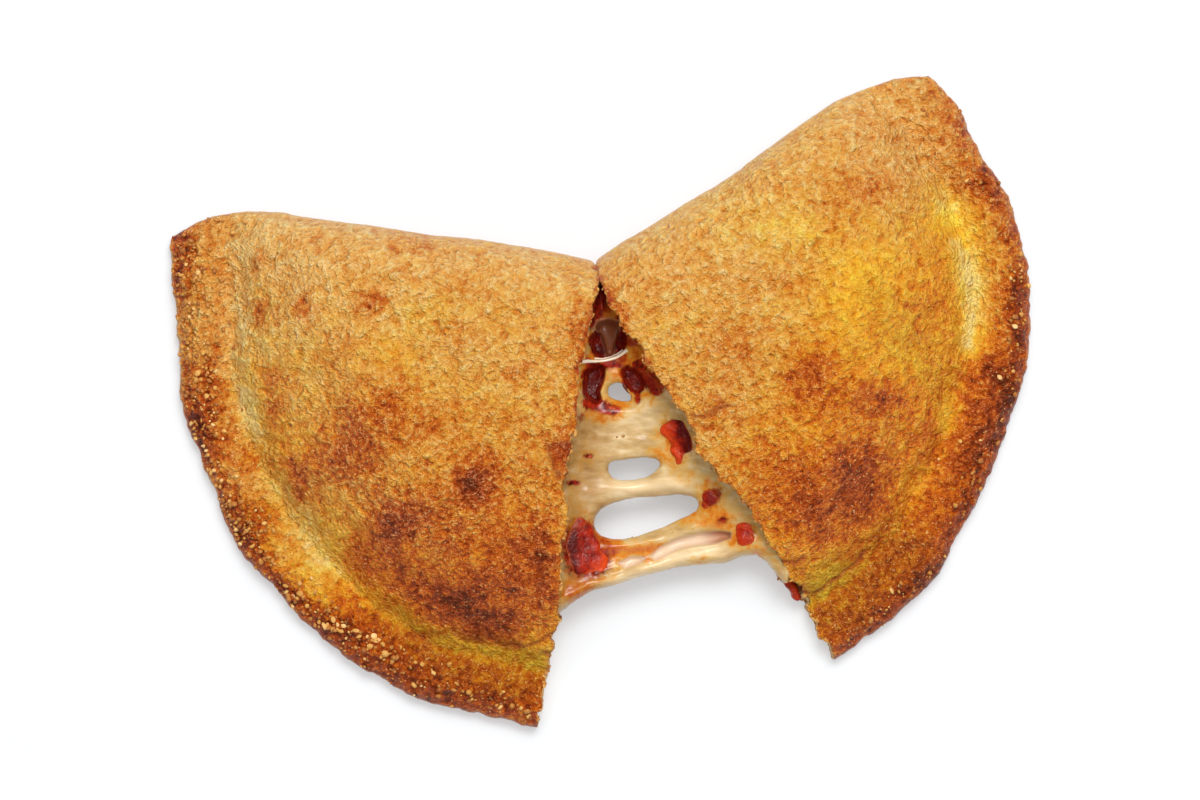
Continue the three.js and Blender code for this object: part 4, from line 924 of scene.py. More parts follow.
def web_fields(x, y):
    """Middle height and half thickness of the stretched cheese; the thickness is negative where there is none."""
    L, R = HALVES["left"], HALVES["right"]
    al, bl = local(L, x, y)
    ar, br = local(R, x, y)
    el, er = tear_line(L, bl) - al, tear_line(R, br) - ar
    q = np.where(el <= 0, 0.0, np.where(er <= 0, 1.0, el / np.maximum(1e-6, el + er)))
    mouth = np.abs(2 * q - 1) ** 2.2
    deep = np.maximum(smooth((2.0 - el) / 7), smooth((2.0 - er) / 7))
    mid = mix(14.5, 17.0, mouth)
    T = mix(2.0, 4.0, mouth)
    sx, sy = x * 0.45, y + 0.12 * x
    mid = mid + 0.32 * noise(sx, sy, 0 * x, 5.0, 91) + 0.14 * noise(sx, sy, 0 * x, 2.4, 92)
    T = T * (1 + 0.15 * noise(sx, sy, 0 * x, 4.0, 93))
    d = side_of(x, y, BORDER)
    for points, width, height in STRANDS:
        dist, _ = line_distance(x, y, points)
        ridge = np.exp(-((dist / width) ** 2))
        T, mid = T + 0.55 * height * ridge, mid + 0.5 * height * ridge
    for hole in (HOLE_SMALL, HOLE_LARGE, HOLE_UPPER):
        d = np.minimum(d, -inside(x, y, hole))
    for dent, depth in ((DENT_LEFT, 4.5), (DENT_RIGHT, 4.5), (DENT_TOP, 5.5)):
        k = smooth(inside(x, y, dent) / 2.0 + 0.25)
        if dent is DENT_TOP:
            k = k * (1 - 0.45 * smooth(inside(x, y, BAND_TOP) / 1.2 + 0.4))
        mid, T = mid - depth * k, mix(T, 1.1, k)
    for film in (FILM_LONG, FILM_SHORT):
        k = smooth(inside(x, y, film) / 1.3 + 0.3)
        mid, T = mid - 0.5 * k, mix(T, 0.5, k)
    # the cheese thickens as it goes into the pockets, and stays under their roofs and above the sauce
    T, mid = mix(T, 8.2, deep), mix(mid, 18.0, deep)
    for h, a, b in ((L, al, bl), (R, ar, br)):
        under = smooth((1.9 + a) / 1.9)
        roof = mix(40.0, top_height(h, np.maximum(a, 0), np.maximum(b, 0)) - TOP_CRUST - 1.0, under)
        top = np.minimum(mid + T, roof)
        low = np.maximum(mid - T, 9.6)
        mid, T = (top + low) / 2, np.maximum(0.3, (top - low) / 2)
    d = np.minimum(d, np.minimum(9.0 + el, 9.0 + er))
    d = np.minimum(d, np.hypot(x - HINGE[0], y - HINGE[1]) - 8.0)
    d = np.minimum(d, 118.0 - np.maximum(bl, 0) + 8 * (el > 0))
    return mid, np.where(d > 0, T * rnd(d / 3.0), -np.abs(d)), el, er


def mozzarella_material():
    m = Nodes("melted_mozzarella")
    streak = m.noise(2.6, 3.0, 0.55, (0.35, 1.0, 1.0))
    color = m.ramp(streak, [(0.25, (168, 132, 78)), (0.5, (196, 164, 112)), (0.75, (222, 200, 156))])
    # paler where the cheese is stretched, and painted highlights
    color = m.blend(m.math("MULTIPLY", m.attr("cream_and_highlight"), 0.7), color, srgb(240, 216, 174))
    oil = m.math("ADD", m.attr("stain"), m.math("MULTIPLY", m.math("SUBTRACT", m.noise(2.4, 3.0, 0.6), 0.5), 1.0))
    color = m.blend(m.span(oil, 0.15, 0.6), color, m.ramp(oil, [(0.35, (208, 162, 70)), (0.65, (204, 124, 32)), (0.9, (182, 78, 20)), (1.0, (156, 52, 14))]))
    red = m.span(m.math("ADD", m.attr("red"), m.math("MULTIPLY", m.math("SUBTRACT", m.noise(1.4, 3.0, 0.6), 0.5), 0.8)), 0.3, 0.7)
    color = m.blend(red, color, m.ramp(m.noise(1.6, 2.0), [(0.35, (92, 14, 6)), (0.65, (168, 40, 14))]))
    # where the band value is high the film is darker brown: at the top window partly sauce tint, partly painted shade
    # of the hollow behind it
    color = m.blend(m.attr("film"), color, m.ramp(m.attr("band"), [(0.0, (222, 196, 168)), (0.6, (178, 124, 90)), (1.0, (126, 68, 40))]))
    # painted shade: darker on the underside of the cheese, seen at the hole edges, and under the roof of the left
    # pocket
    color = m.blend(m.math("MULTIPLY", m.attr("under"), 0.85), color, m.blend(1.0, color, (0.66, 0.52, 0.38, 1.0), "MULTIPLY"))
    m.link(color, m.bsdf.inputs["Base Color"])
    m.bsdf.inputs["Roughness"].default_value = 0.25
    m.bsdf.inputs["Specular IOR Level"].default_value = 0.42
    m.link(m.span(red, 0.0, 1.0, 0.45, 0.05), m.bsdf.inputs["Subsurface Weight"])
    m.bsdf.inputs["Subsurface Radius"].default_value = (1.0, 0.6, 0.32)
    m.bsdf.inputs["Subsurface Scale"].default_value = 0.0022
    m.link(m.bump(m.noise(1.7, 3.0, 0.5, (0.5, 1.0, 1.0)), 0.2, 0.7), m.bsdf.inputs["Normal"])
    return m.mat


def pocket_field(h, X, Y, Z, low, high, clear, front):
    """Positive inside what fills a pocket between two heights, that much clear of the crust all round."""
    a, b = local(h, X, Y)
    roof = top_height(h, np.maximum(a, 0), np.maximum(b, 0)) - TOP_CRUST - clear
    dr = rim_radius(h, np.maximum(a, 0), b) - np.hypot(np.maximum(a, 0), b)
    flat = np.minimum(np.minimum(a - front, b - 8.0 - clear), dr - RIM_WIDTH - 1.6 - 1.6 * clear)
    return np.minimum(np.minimum(np.minimum(roof, high)[:, :, None] - Z, Z - low), flat[:, :, None])


def grid(x0, x1, y0, y1, z0, z1, h, hz=None):
    xs, ys, zs = np.arange(x0, x1, h), np.arange(y0, y1, h), np.arange(z0, z1, hz or h)
    X, Y = np.meshgrid(xs, ys, indexing="ij")
    return X, Y, zs[None, None, :]


def half_box(h, margin=2.0):
    a = np.array([0, 150, 0, 150, 106]), np.array([0, 0, 150, 150, 106])
    x, y = place(h, a[0], a[1])
    return x.min() - margin, x.max() + margin, y.min() - margin, y.max() + margin


def build_mozzarella():
    h = 0.5
    X, Y, Z = grid(-28, 70, -84, 42, 4.0, 30.0, h)
    mid, T, _, _ = web_fields(X, Y)
    F = T[:, :, None] - np.abs(Z - mid[:, :, None])
    v, q = surface_nets(F, (X[0, 0], Y[0, 0], 4.0), h)
    v = relax(v, q, 2, 0.5)
    x, y = v[:, 0], v[:, 1]
    stain = 0.88 * (1 - np.exp(-1.15 * patch(x, y, STAIN, 0.8, 95)))
    # painted shade on the underside of the web, seen round the holes
    under = smooth((web_fields(x, y)[0] - v[:, 2]) / 1.6 + 0.2)
    under = np.maximum(under, 0.92 * smooth((7.5 - x + 1.2 * noise(x, y, 0 * x, 5.0, 105)) / 12) * smooth((-1 - y) / 5))  # the roof of the left pocket shades it
    red = patch(x, y, RED, 0.5, 96)
    for dent in (DENT_LEFT, DENT_RIGHT, DENT_TOP):
        k = smooth(inside(x, y, dent) / 1.2 + 0.5)
        if dent is DENT_TOP:
            k = k * (1 - smooth(inside(x, y, BAND_TOP) / 0.8 + 0.3))
        red = np.maximum(red, k)
        ring = clamp(0.55 + 1.3 * noise(x, y, 0 * x, 4.2, 98))  # the stain round an opening comes and goes
        stain = np.maximum(stain, smooth(inside(x, y, dent) / 2.5 + 1.0) * 0.95 * ring)
        red = np.maximum(red, smooth(inside(x, y, dent) / 2.0 + 0.9 + 0.8 * noise(x, y, 0 * x, 3.0, 99)) * smooth((noise(x, y, 0 * x, 6.0, 100) + 0.1) / 0.3) * 0.8)
    upper = smooth((y - 5 + 2.5 * noise(x, y, 0 * x, 5.0, 102)) / 7)  # oil and sauce gather towards the hinge
    stain = np.maximum(stain, 0.95 * upper * clamp(0.75 + 0.7 * noise(x, y, 0 * x, 3.4, 103)))
    red = np.maximum(red, 0.9 * upper * smooth((noise(x, y, 0 * x, 4.6, 104) + 0.28 * smooth((y - 14) / 12) - 0.18) / 0.2))
    red = red * (1 - 0.75 * clamp(patch(x, y, [(3.6, 27.2, 3.6, 2.4, 10, 1.0), (11.8, 16.8, 3.4, 3.0, -40, 0.8)], 0.6, 106)))
    film = np.maximum(smooth(inside(x, y, FILM_LONG) / 1.0 + 0.5), smooth(inside(x, y, FILM_SHORT) / 1.0 + 0.5))
    # the band at the top window: darker film, partly sauce tint, partly painted shade of the hollow behind it
    band = smooth(inside(x, y, BAND_TOP) / 1.0 + 0.6)
    band = np.maximum(band, film * 0.6 * smooth((x - 29 + 0.5 * (y + 42)) / 9))
    film = np.maximum(film, smooth(inside(x, y, BAND_TOP) / 1.0 + 0.6))
    V, Q, A, at = [v], [q], [np.stack([clamp(stain), clamp(red), clamp(patch(x, y, CREAM_AND_HIGHLIGHT, 0.6, 97)), film, band, under], -1)], len(v)
    for half in HALVES.values():
        bx = half_box(half)
        X, Y, Z = grid(*bx, 6.0, 30.0, 2.0)
        F = pocket_field(half, X, Y, Z, 9.5, 40.0, 0.9, 5.0)
        fv, fq = surface_nets(F, (bx[0], bx[2], 6.0), 2.0)
        V.append(fv)
        Q.append(fq + at)
        A.append(np.zeros((len(fv), 6)))
        at += len(fv)
    A = np.concatenate(A)
    ob = make_mesh("mozzarella_melted", np.concatenate(V), [np.concatenate(Q)], {k: A[:, i] for i, k in enumerate(("stain", "red", "cream_and_highlight", "film", "band", "under"))}, mozzarella_material())
    return finish_piece(ob, "melted_mozzarella", "mozzarella")


build_mozzarella()


# ------------------------------------------------------------------ thin threads of cheese over the web
THREADS = [
    ([(-5.6, 11.8), (-3.8, 12.1), (-1.6, 12.0), (0.6, 12.1), (2.9, 12.5), (5.4, 13.3), (7.3, 14.5), (8.6, 15.6)], 0.5, 0.5),
    ([(-1.6, 12.9), (0.8, 12.8), (3.4, 13.4), (5.6, 14.4), (7.2, 15.6)], 0.24, 0.9),
]


def build_threads():
    V, Q, at, sides = [], [], 0, 10
    for points, radius, lift in THREADS:
        p = np.array(points, float)
        k = np.linspace(0, len(p) - 1, 60)
        x, y = np.interp(k, np.arange(len(p)), p[:, 0]), np.interp(k, np.arange(len(p)), p[:, 1])
        box = np.ones(7) / 7
        x[3:-3], y[3:-3] = np.convolve(x, box, "valid"), np.convolve(y, box, "valid")
        mid, T, _, _ = web_fields(x, y)
        top = np.maximum(mid + T, 13.5)
        top = np.convolve(np.pad(top, 7, "edge"), np.ones(15) / 15, "valid") + lift - 0.6
        c = np.stack([x, y, top], -1)
        run = np.gradient(c, axis=0)
        run /= np.linalg.norm(run, axis=1)[:, None]
        side = np.cross(run, [0, 0, 1.0])
        side /= np.linalg.norm(side, axis=1)[:, None]
        up = np.cross(side, run)
        r = radius * (0.75 + 0.5 * smooth(1 - np.minimum(k, k[::-1]) / 3)) * (1 + 0.18 * noise(x, y, 0 * x, 2.2, 161))
        turn = 2 * math.pi * np.arange(sides) / sides
        ring = c[:, None] + r[:, None, None] * (np.cos(turn)[None, :, None] * side[:, None] + np.sin(turn)[None, :, None] * up[:, None])
        V += [ring.reshape(-1, 3), c[:1], c[-1:]]
        i = np.arange(len(k) - 1)[:, None] * sides + np.arange(sides)[None, :]
        j = np.arange(len(k) - 1)[:, None] * sides + (np.arange(sides)[None, :] + 1) % sides
        Q.append(np.stack([i, j, j + sides, i + sides], -1).reshape(-1, 4) + at)
        n, m = len(k) * sides, (len(k) - 1) * sides
        e, f = np.arange(sides), (np.arange(sides) + 1) % sides
        Q.append(np.stack([f, e, 0 * e + n], -1) + at)
        Q.append(np.stack([e + m, f + m, 0 * e + n + 1], -1) + at)
        at += n + 2
    m = Nodes("cheese_thread")
    m.link(m.ramp(m.noise(1.5, 2.0), [(0.3, (238, 214, 184)), (0.7, (250, 236, 216))]), m.bsdf.inputs["Base Color"])
    m.bsdf.inputs["Roughness"].default_value = 0.2
    m.bsdf.inputs["Subsurface Weight"].default_value = 0.3
    m.bsdf.inputs["Subsurface Radius"].default_value = (1.0, 0.6, 0.32)
    m.bsdf.inputs["Subsurface Scale"].default_value = 0.001
    m.link(m.bump(m.noise(0.8, 2.0), 0.06, 0.6), m.bsdf.inputs["Normal"])
    ob = make_mesh("cheese_threads", np.concatenate(V), Q, None, m.mat)
    face_out(ob)
    return finish_piece(ob, "melted_mozzarella")


build_threads()


# ------------------------------------------------------------------ sauce, tomato and crumbs
def wet_red_material(name, dark, mid, light, rough):
    m = Nodes(name)
    n = m.math("ADD", m.math("MULTIPLY", m.math("SUBTRACT", m.noise(2.8, 3.0, 0.55), 0.5), 0.6), m.math("MULTIPLY_ADD", m.attr("tint"), 0.62, 0.19))
    edge = m.span(m.math("ADD", m.attr("skirt"), m.math("MULTIPLY", m.math("SUBTRACT", m.noise(1.5, 2.0), 0.5), 0.8)), 0.35, 1.0)
    m.link(m.blend(m.math("MULTIPLY", edge, 0.7), m.ramp(n, [(0.3, dark), (0.5, mid), (0.72, light)]), srgb(176, 68, 22)), m.bsdf.inputs["Base Color"])
    m.link(m.span(m.noise(1.2, 2.0), 0.3, 0.7, rough, rough + 0.16), m.bsdf.inputs["Roughness"])
    m.bsdf.inputs["Specular IOR Level"].default_value = 0.3
    m.bsdf.inputs["Subsurface Weight"].default_value = 0.12
    m.bsdf.inputs["Subsurface Radius"].default_value = (1.0, 0.2, 0.1)
    m.bsdf.inputs["Subsurface Scale"].default_value = 0.001
    m.link(m.bump(m.noise(1.0, 2.0, 0.6), 0.42, 0.8), m.bsdf.inputs["Normal"])
    return m.mat


def blobs_mesh(blobs, h, lumps, seed, tint=None):
    """A lumpy solid round ellipsoids: (x, y, z, half sizes, turn in degrees)."""
    B = np.array(blobs, float)
    reach = B[:, 3:6].max(1) + 2.0
    lo, hi = (B[:, :3] - reach[:, None]).min(0), (B[:, :3] + reach[:, None]).max(0)
    xs, ys, zs = [np.arange(lo[k], hi[k], h) for k in range(3)]
    X, Y, Z = np.meshgrid(xs, ys, zs, indexing="ij")
    wx = X + lumps * noise(X, Y, Z, 4.4, seed) + 0.35 * lumps * noise(X, Y, Z, 2.1, seed + 1)
    wy = Y + lumps * noise(X, Y, Z, 4.4, seed + 2) + 0.35 * lumps * noise(X, Y, Z, 2.1, seed + 3)
    wz = Z + 0.6 * lumps * noise(X, Y, Z, 3.8, seed + 4)
    total = np.zeros(X.shape)
    for bx, by, bz, rx, ry, rz, turn in B:
        c, s = math.cos(math.radians(turn)), math.sin(math.radians(turn))
        u, v, w = ((wx - bx) * c + (wy - by) * s) / rx, (-(wx - bx) * s + (wy - by) * c) / ry, (wz - bz) / rz
        r = np.sqrt(u * u + v * v + w * w)
        total += np.exp(6.0 * (1 - r))
    F = np.log(total) / 6.0
    F[0], F[-1], F[:, 0], F[:, -1], F[:, :, 0], F[:, :, -1] = -1, -1, -1, -1, -1, -1
    v, q = surface_nets(F, lo, h)
    return relax(v, q, 4, 0.5), q


def settle(v, keep=0.4):
    """Press the part that stands above the cheese down towards it; also how near the rim of the piece is."""
    mid, T, _, _ = web_fields(v[:, 0], v[:, 1])
    over = v[:, 2] - (mid + np.maximum(T, 0.3))
    v = v.copy()
    v[:, 2] = np.where(over > 0, v[:, 2] - (1 - keep) * over, v[:, 2])
    return v, 1 - smooth(over / 1.5)


TOMATO = {
    "tomato_left": [(-7.6, -44.6, 17.0, 4.4, 9.0, 3.9, -4), (-5.8, -51.0, 17.2, 5.0, 4.4, 3.8, 0), (-1.0, -50.4, 16.9, 4.4, 3.6, 3.5, 10), (-3.4, -45.8, 16.9, 4.2, 4.6, 3.5, 0), (-5.6, -39.8, 16.6, 3.6, 3.4, 3.4, 0)],
    "tomato_right": [(22.9, -8.8, 18.2, 4.0, 3.2, 3.4, 20), (25.6, -11.6, 18.6, 3.2, 5.0, 3.4, 25), (27.0, -12.0, 18.8, 2.4, 4.2, 3.2, 20), (24.2, -16.4, 17.8, 1.9, 3.8, 3.0, 8)],
    "tomato_upper": [(-2.9, 6.6, 11.8, 3.6, 4.4, 2.2, 0), (-2.0, 1.8, 12.0, 3.4, 3.2, 2.2, 10), (0.4, -0.8, 13.2, 2.8, 2.2, 2.0, -30)],
    "tomato_front": [(44.8, -40.8, 18.6, 2.6, 3.6, 2.8, -14), (45.8, -43.2, 18.4, 2.6, 2.6, 2.6, 0)],
    "tomato_lip": [(59.8, -57.8, 8.6, 1.9, 3.4, 1.9, 32), (61.2, -60.8, 8.0, 1.5, 2.0, 1.5, 32)],
}
TINT = {"tomato_left": 0.42, "tomato_right": 0.76, "tomato_upper": 0.05, "tomato_front": 0.58, "tomato_lip": 0.55}
tomato_look = wet_red_material("tomato_piece", (88, 12, 6), (158, 32, 11), (208, 68, 22), 0.2)
sauce_look = wet_red_material("tomato_sauce", (78, 10, 5), (130, 22, 9), (176, 50, 18), 0.2)
for k, (name, blobs) in enumerate(TOMATO.items()):
    v, q = blobs_mesh(blobs, 0.34, 1.1, 101 + 5 * k)
    tint = TINT[name] + 0 * v[:, 0]
    if name == "tomato_left":
        tint = tint + 0.4 * smooth((v[:, 0] + 4.0 - 0.6 * (v[:, 1] + 50)) / 6.0) - 0.35 * smooth((-5.0 - v[:, 0]) / 4.0)
    if name == "tomato_right":
        tint = tint - 0.7 * smooth((v[:, 0] - 21.5 + 0.3 * (v[:, 1] + 11) + 1.5 * noise(v[:, 0], v[:, 1], v[:, 2], 3.0, 133)) / 6.0)
    if name == "tomato_lip":
        skirt = 0 * tint
    else:
        v, skirt = settle(v)
    finish_piece(make_mesh(name + "_cooked", v, [q], {"tint": clamp(tint), "skirt": skirt}, tomato_look), "tomato_piece", name)

for name, half in (("sauce_left", HALVES["left"]), ("sauce_right", HALVES["right"])):
    bx = half_box(half)
    step = 1.3
    X, Y, Z = grid(*bx, 3.0, 12.0, step)
    F = pocket_field(half, X, Y, Z, 5.8, 8.6, 3.0, -0.8) + 0.35 * noise(X, Y, 0 * X, 6.0, 121)[:, :, None] * (Z > 7)
    v, q = surface_nets(F, (bx[0], bx[2], 3.0), step)
    v[:, 2] = clamp(v[:, 2], 5.8, 9.1)
    finish_piece(make_mesh(name + "_cooked", v, [q], {"tint": 0.4 + 0 * v[:, 0], "skirt": 0 * v[:, 0]}, sauce_look), "tomato_sauce", name)

SPLASHES = [
    # beside the upper window, at the top window and on the cheese
    (11.0, 5.8, 11.8, 3.9, 4.4, 1.8, -20, 0.35), (9.0, 9.2, 12.2, 3.2, 2.2, 1.5, 0, 0.3), (16.2, 5.8, 18.8, 2.2, 3.4, 1.5, 35, 0.55), (18.0, 3.0, 18.9, 2.2, 1.6, 1.2, 0, 0.5),
    (7.2, 18.8, 11.6, 2.4, 4.2, 1.9, -12, 0.25), (-1.0, 15.4, 11.2, 2.6, 2.6, 1.6, 20, 0.2), (-1.6, 21.0, 11.6, 1.5, 3.4, 1.5, 10, 0.3),
    (34.2, -30.4, 18.6, 2.4, 2.6, 1.8, 10, 0.5), (36.9, -28.8, 18.8, 2.0, 1.9, 1.5, 0, 0.2), (33.0, -32.2, 18.0, 1.5, 1.7, 1.3, 0, 0.7), (38.6, -37.0, 18.2, 1.2, 0.7, 0.7, 0, 0.8),
    (-3.3, -17.3, 18.0, 1.2, 0.8, 0.6, 0, 0.6), (-9.0, -25.4, 18.2, 2.3, 0.8, 0.8, -8, 0.05), (3.4, -3.0, 16.0, 2.8, 1.4, 1.1, -20, 0.7), (11.8, 0.8, 15.6, 1.2, 2.2, 1.0, 0, 0.6),
]
V, Q, A, at = [], [], [], 0
for k, (x, y, z, rx, ry, rz, turn, tint) in enumerate(SPLASHES):
    v, q = blobs_mesh([(x, y, z, rx, ry, rz, turn)], 0.28, 0.55, 140 + 3 * k)
    v, skirt = settle(v, 0.45)
    V.append(v)
    Q.append(q + at)
    A.append(np.stack([tint + 0 * skirt, skirt], -1))
    at += len(v)
A = np.concatenate(A)
finish_piece(make_mesh("sauce_splashes", np.concatenate(V), [np.concatenate(Q)], {"tint": A[:, 0], "skirt": A[:, 1]}, sauce_look), "tomato_sauce")


def icosphere(level):
    import bmesh
    bm = bmesh.new()
    bmesh.ops.create_icosphere(bm, subdivisions=level, radius=1.0)
    bm.verts.ensure_lookup_table()
    v = np.array([q.co[:] for q in bm.verts])
    f = np.array([[c.index for c in face.verts] for face in bm.faces])
    bm.free()
    return v, f


def scatter(points, normals, sizes, rs, level=1, sink=0.15, flat=0.8):
    """Small uneven grains sitting on a surface, as one mesh."""
    bv, bf = icosphere(level)
    V, F, tint = [], [], []
    for k, (p, n, s) in enumerate(zip(points, normals, sizes)):
        q = rs.normal(size=(3, 3))
        u, _, w = np.linalg.svd(q)
        shape = bv * (np.array([1.0, 0.8, 0.65]) * (0.75 + 0.5 * rs.rand(3)))
        shape = shape * (1 + 0.16 * np.sin(bv @ rs.normal(size=3) * 2.6 + rs.rand() * 6))[:, None]
        shape = shape @ (u @ w)
        along = shape @ n
        shape = shape - np.outer(along, n) * (1 - flat)
        V.append(shape * s / 2 + p + n * s * (0.5 * flat - sink) * 0.8)
        F.append(bf + k * len(bv))
        tint.append(np.full(len(bv), rs.rand()))
    return np.concatenate(V), np.concatenate(F), np.concatenate(tint)


FINE_MEAL = [(-50.0, -20.0, 30.0, 26.0, 0, 1.0), (-80.0, 0.0, 20.0, 30.0, 0, 0.5), (90.0, -20.0, 30.0, 26.0, 0, 0.5), (60.0, 20.0, 30.0, 30.0, 0, 0.25), (-60.0, 30.0, 40.0, 15.0, 0, 0.25)]


def pick(parts, weight_of, count, rs, apart):
    P = np.concatenate([p[4]["P"] for p in parts])
    n = np.concatenate([p[4]["n"] for p in parts])
    dr = np.concatenate([p[4]["dr"] for p in parts])
    df = np.concatenate([p[4]["df"] for p in parts])
    w = weight_of(P, dr, df)
    order = rs.choice(len(P), size=min(count * 6, int((w > 0).sum())), replace=False, p=w / w.sum())
    taken, cellset = [], set()
    for i in order:
        key = (int(P[i, 0] / apart), int(P[i, 1] / apart))
        if key in cellset:
            continue
        cellset.add(key)
        taken.append(i)
        if len(taken) >= count:
            break
    return P[taken], n[taken]


def grain_material():
    m = Nodes("corn_meal")
    m.link(m.ramp(m.math("ADD", m.attr("tint"), m.math("MULTIPLY", m.math("SUBTRACT", m.noise(0.6, 2.0), 0.5), 0.5)),
                  [(0.1, (160, 92, 34)), (0.45, (192, 130, 54)), (0.75, (214, 160, 80)), (1.0, (236, 198, 134))]), m.bsdf.inputs["Base Color"])
    m.bsdf.inputs["Roughness"].default_value = 0.5
    m.link(m.bump(m.noise(0.4, 2.0), 0.1, 0.8), m.bsdf.inputs["Normal"])
    return m.mat


grain_look = grain_material()
rs = np.random.RandomState(5)
P1, n1 = pick(crust_parts, lambda P, dr, df: clamp(patch(P[:, 0], P[:, 1], MEAL), 0, 1.6) * smooth((dr - 0.3) / 0.8), 640, rs, 1.3)
s1 = 0.8 + 1.3 * rs.rand(len(P1)) ** 1.8
P2, n2 = pick(crust_parts, lambda P, dr, df: 0.15 * clamp(patch(P[:, 0], P[:, 1], FINE_MEAL), 0, 1.0) + 1.0 * clamp(patch(P[:, 0], P[:, 1], MEAL), 0, 1.0), 180, rs, 1.6)
s2 = 0.45 + 0.45 * rs.rand(len(P2))
v, f, tint = scatter(np.concatenate([P1, P2]), np.concatenate([n1, n2]), np.concatenate([s1, s2]), rs, 2)
finish_piece(make_mesh("corn_meal", v, [f], {"tint": 0.05 + 0.6 * tint + 0.3 * tint ** 6}, grain_look), "baked_crust")

# Larger flakes that stand on the rim: (x, y, size).
FLAKES = [(-83.2, -68.6, 2.6), (-81.8, -69.6, 2.4), (-80.8, -72.0, 2.8), (-83.4, -71.3, 2.2), (-84.6, -70.0, 1.8), (-79.6, -70.4, 1.9), (-76.0, -71.4, 2.9), (-75.1, -73.6, 2.6), (-72.6, -73.9, 2.0), (-70.1, -73.6, 2.5),
          (-69.2, -75.2, 2.6), (-71.0, -76.9, 3.0), (-66.8, -79.2, 3.8), (-64.5, -81.7, 2.4), (-112.0, -31.4, 2.2), (-97.5, -60.0, 2.3), (-95.6, -61.2, 1.9), (-110.4, -40.6, 2.2), (-108.6, -38.2, 1.8), (-117.4, -9.4, 2.0), (-112.8, -9.0, 1.6)]
allP, alln = np.concatenate([p[4]["P"] for p in crust_parts]), np.concatenate([p[4]["n"] for p in crust_parts])
near = [int(np.argmin((allP[:, 0] - x) ** 2 + (allP[:, 1] - y) ** 2)) for x, y, _ in FLAKES]
rs = np.random.RandomState(17)
v, f, tint = scatter(allP[near], alln[near], 0.78 * np.array([k[2] for k in FLAKES]), rs, 3, 0.2, 0.5)
wob = 1 + 0.10 * noise(v[:, 0], v[:, 1], v[:, 2], 0.8, 151)
centre = np.repeat(allP[near], len(v) // len(near), axis=0)
finish_piece(make_mesh("meal_flakes", centre + (v - centre) * wob[:, None], [f], {"tint": 0.6 + 0.35 * tint}, grain_look), "baked_crust")

# Crumbs along the torn edges.
edge = np.concatenate([p[5][k][10:-6] for p in crust_parts for k in (0, 0, 1, 2, 26)])
rs = np.random.RandomState(8)
chosen = edge[rs.choice(len(edge), 520, replace=False)]
v, f, tint = scatter(chosen, np.tile([0, 0, 1.0], (len(chosen), 1)), 0.7 + 1.5 * rs.rand(len(chosen)) ** 2, rs, 2, 0.35, 0.7)
finish_piece(make_mesh("torn_crumbs", v, [f], {"tint": 0.15 + 0.6 * tint}, grain_look), "baked_crust")

# Herb flecks on the cheese.
FLECKS = [(7.3, -11.2, 1.1), (5.4, -11.5, 0.7), (-1.4, -10.6, 0.6), (17.3, -10.6, 0.6), (10.1, -42.6, 0.5), (22.6, -41.0, 0.5), (34.7, -21.2, 0.9), (29.1, -40.0, 0.5), (-3.0, -20.6, 0.5), (12.0, -13.6, 0.5), (30.0, -26.0, 0.5)]
herb = Nodes("dried_herb")
herb.link(herb.ramp(herb.noise(0.7, 2.0), [(0.3, (156, 112, 50)), (0.7, (190, 146, 76))]), herb.bsdf.inputs["Base Color"])
herb.bsdf.inputs["Roughness"].default_value = 0.6
fx, fy, fs = [np.array(c) for c in zip(*FLECKS)]
mid, T, _, _ = web_fields(fx, fy)
v, f, _ = scatter(np.stack([fx, fy, mid + T], -1), np.tile([0, 0, 1.0], (len(fx), 1)), fs * 1.3, np.random.RandomState(3), 1, 0.1, 0.35)
finish_piece(make_mesh("herb_flecks", v, [f], None, herb.mat), "tomato_sauce")

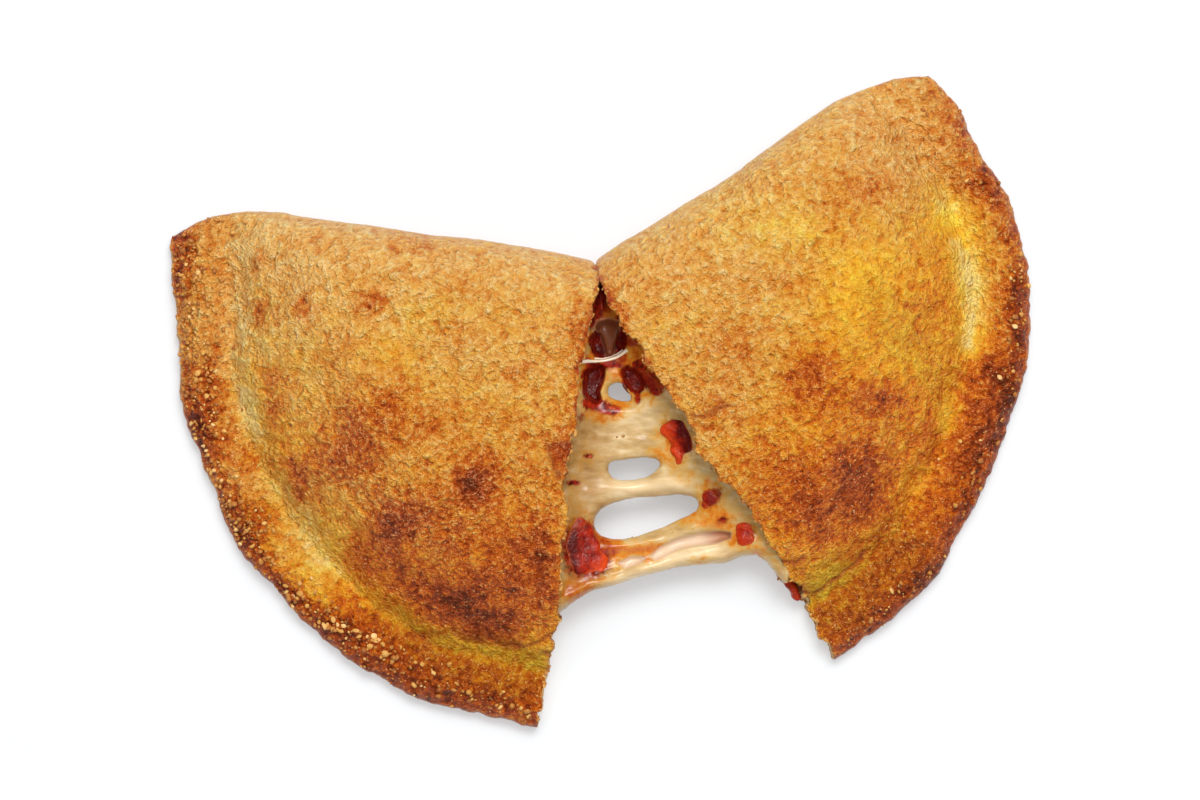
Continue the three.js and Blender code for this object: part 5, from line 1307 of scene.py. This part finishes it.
# ------------------------------------------------------------------ stage
def stage_floor():
    m = Nodes("floor_paper")
    m.link(m.ramp(m.noise(30.0, 2.0), [(0.3, (184, 187, 190)), (0.7, (186, 189, 192))]), m.bsdf.inputs["Base Color"])
    m.bsdf.inputs["Roughness"].default_value = 0.9
    m.bsdf.inputs["Specular IOR Level"].default_value = 0.1
    m.bsdf.inputs["Emission Color"].default_value = (1.0, 1.0, 1.0, 1.0)
    m.bsdf.inputs["Emission Strength"].default_value = 0.35
    s = 1500.0
    ob = make_mesh("floor", [(-s, -s, -0.05), (s, -s, -0.05), (s, s, -0.05), (-s, s, -0.05)], [np.array([[0, 1, 2, 3]])], None, m.mat, False)
    return ob


def area_light(name, at_mm, towards_mm, size_mm, power, color=(1, 1, 1)):
    data = bpy.data.lights.new(name, "AREA")
    data.shape = "DISK"
    data.size = size_mm * MM
    data.energy = power
    data.color = color
    ob = bpy.data.objects.new(name, data)
    bpy.context.scene.collection.objects.link(ob)
    ob.location = Vector(at_mm) * MM
    ob.rotation_euler = (Vector(towards_mm) - Vector(at_mm)).to_track_quat("-Z", "Y").to_euler()
    return ob


stage_floor()
area_light("key", (170, 800, 1870), (0, 0, 0), 760, 21.5, (1.0, 0.992, 0.975))
sky = area_light("sky", (100, 720, 1800), (0, 0, 0), 2300, 29.5, (1.0, 0.995, 0.985))
sky.visible_glossy = False  # a large screen that lights without shining
area_light("fill", (300, -800, 900), (0, 0, 0), 900, 2.2, (0.97, 0.985, 1.0))
world = bpy.data.worlds.new("studio")
bpy.context.scene.world = world
world.use_nodes = True
world.node_tree.nodes["Background"].inputs[0].default_value = (1, 1, 1, 1)
world.node_tree.nodes["Background"].inputs[1].default_value = 0.33
world.cycles_visibility.glossy = False

CAMERA_HEIGHT, VIEW_WIDTH, VIEW_LEVEL = 1650.0, 374.4, 9.0
cam_data = bpy.data.cameras.new("camera")
cam = bpy.data.objects.new("camera", cam_data)
bpy.context.scene.collection.objects.link(cam)
cam.location = Vector((0.1, 0.04, CAMERA_HEIGHT)) * MM
cam_data.sensor_width = 36.0
cam_data.lens = 36.0 * (CAMERA_HEIGHT - VIEW_LEVEL) / VIEW_WIDTH
cam_data.clip_end = 20
bpy.context.scene.camera = cam
bpy.context.scene.view_settings.view_transform = "Standard"
bpy.context.scene.view_settings.look = "None"
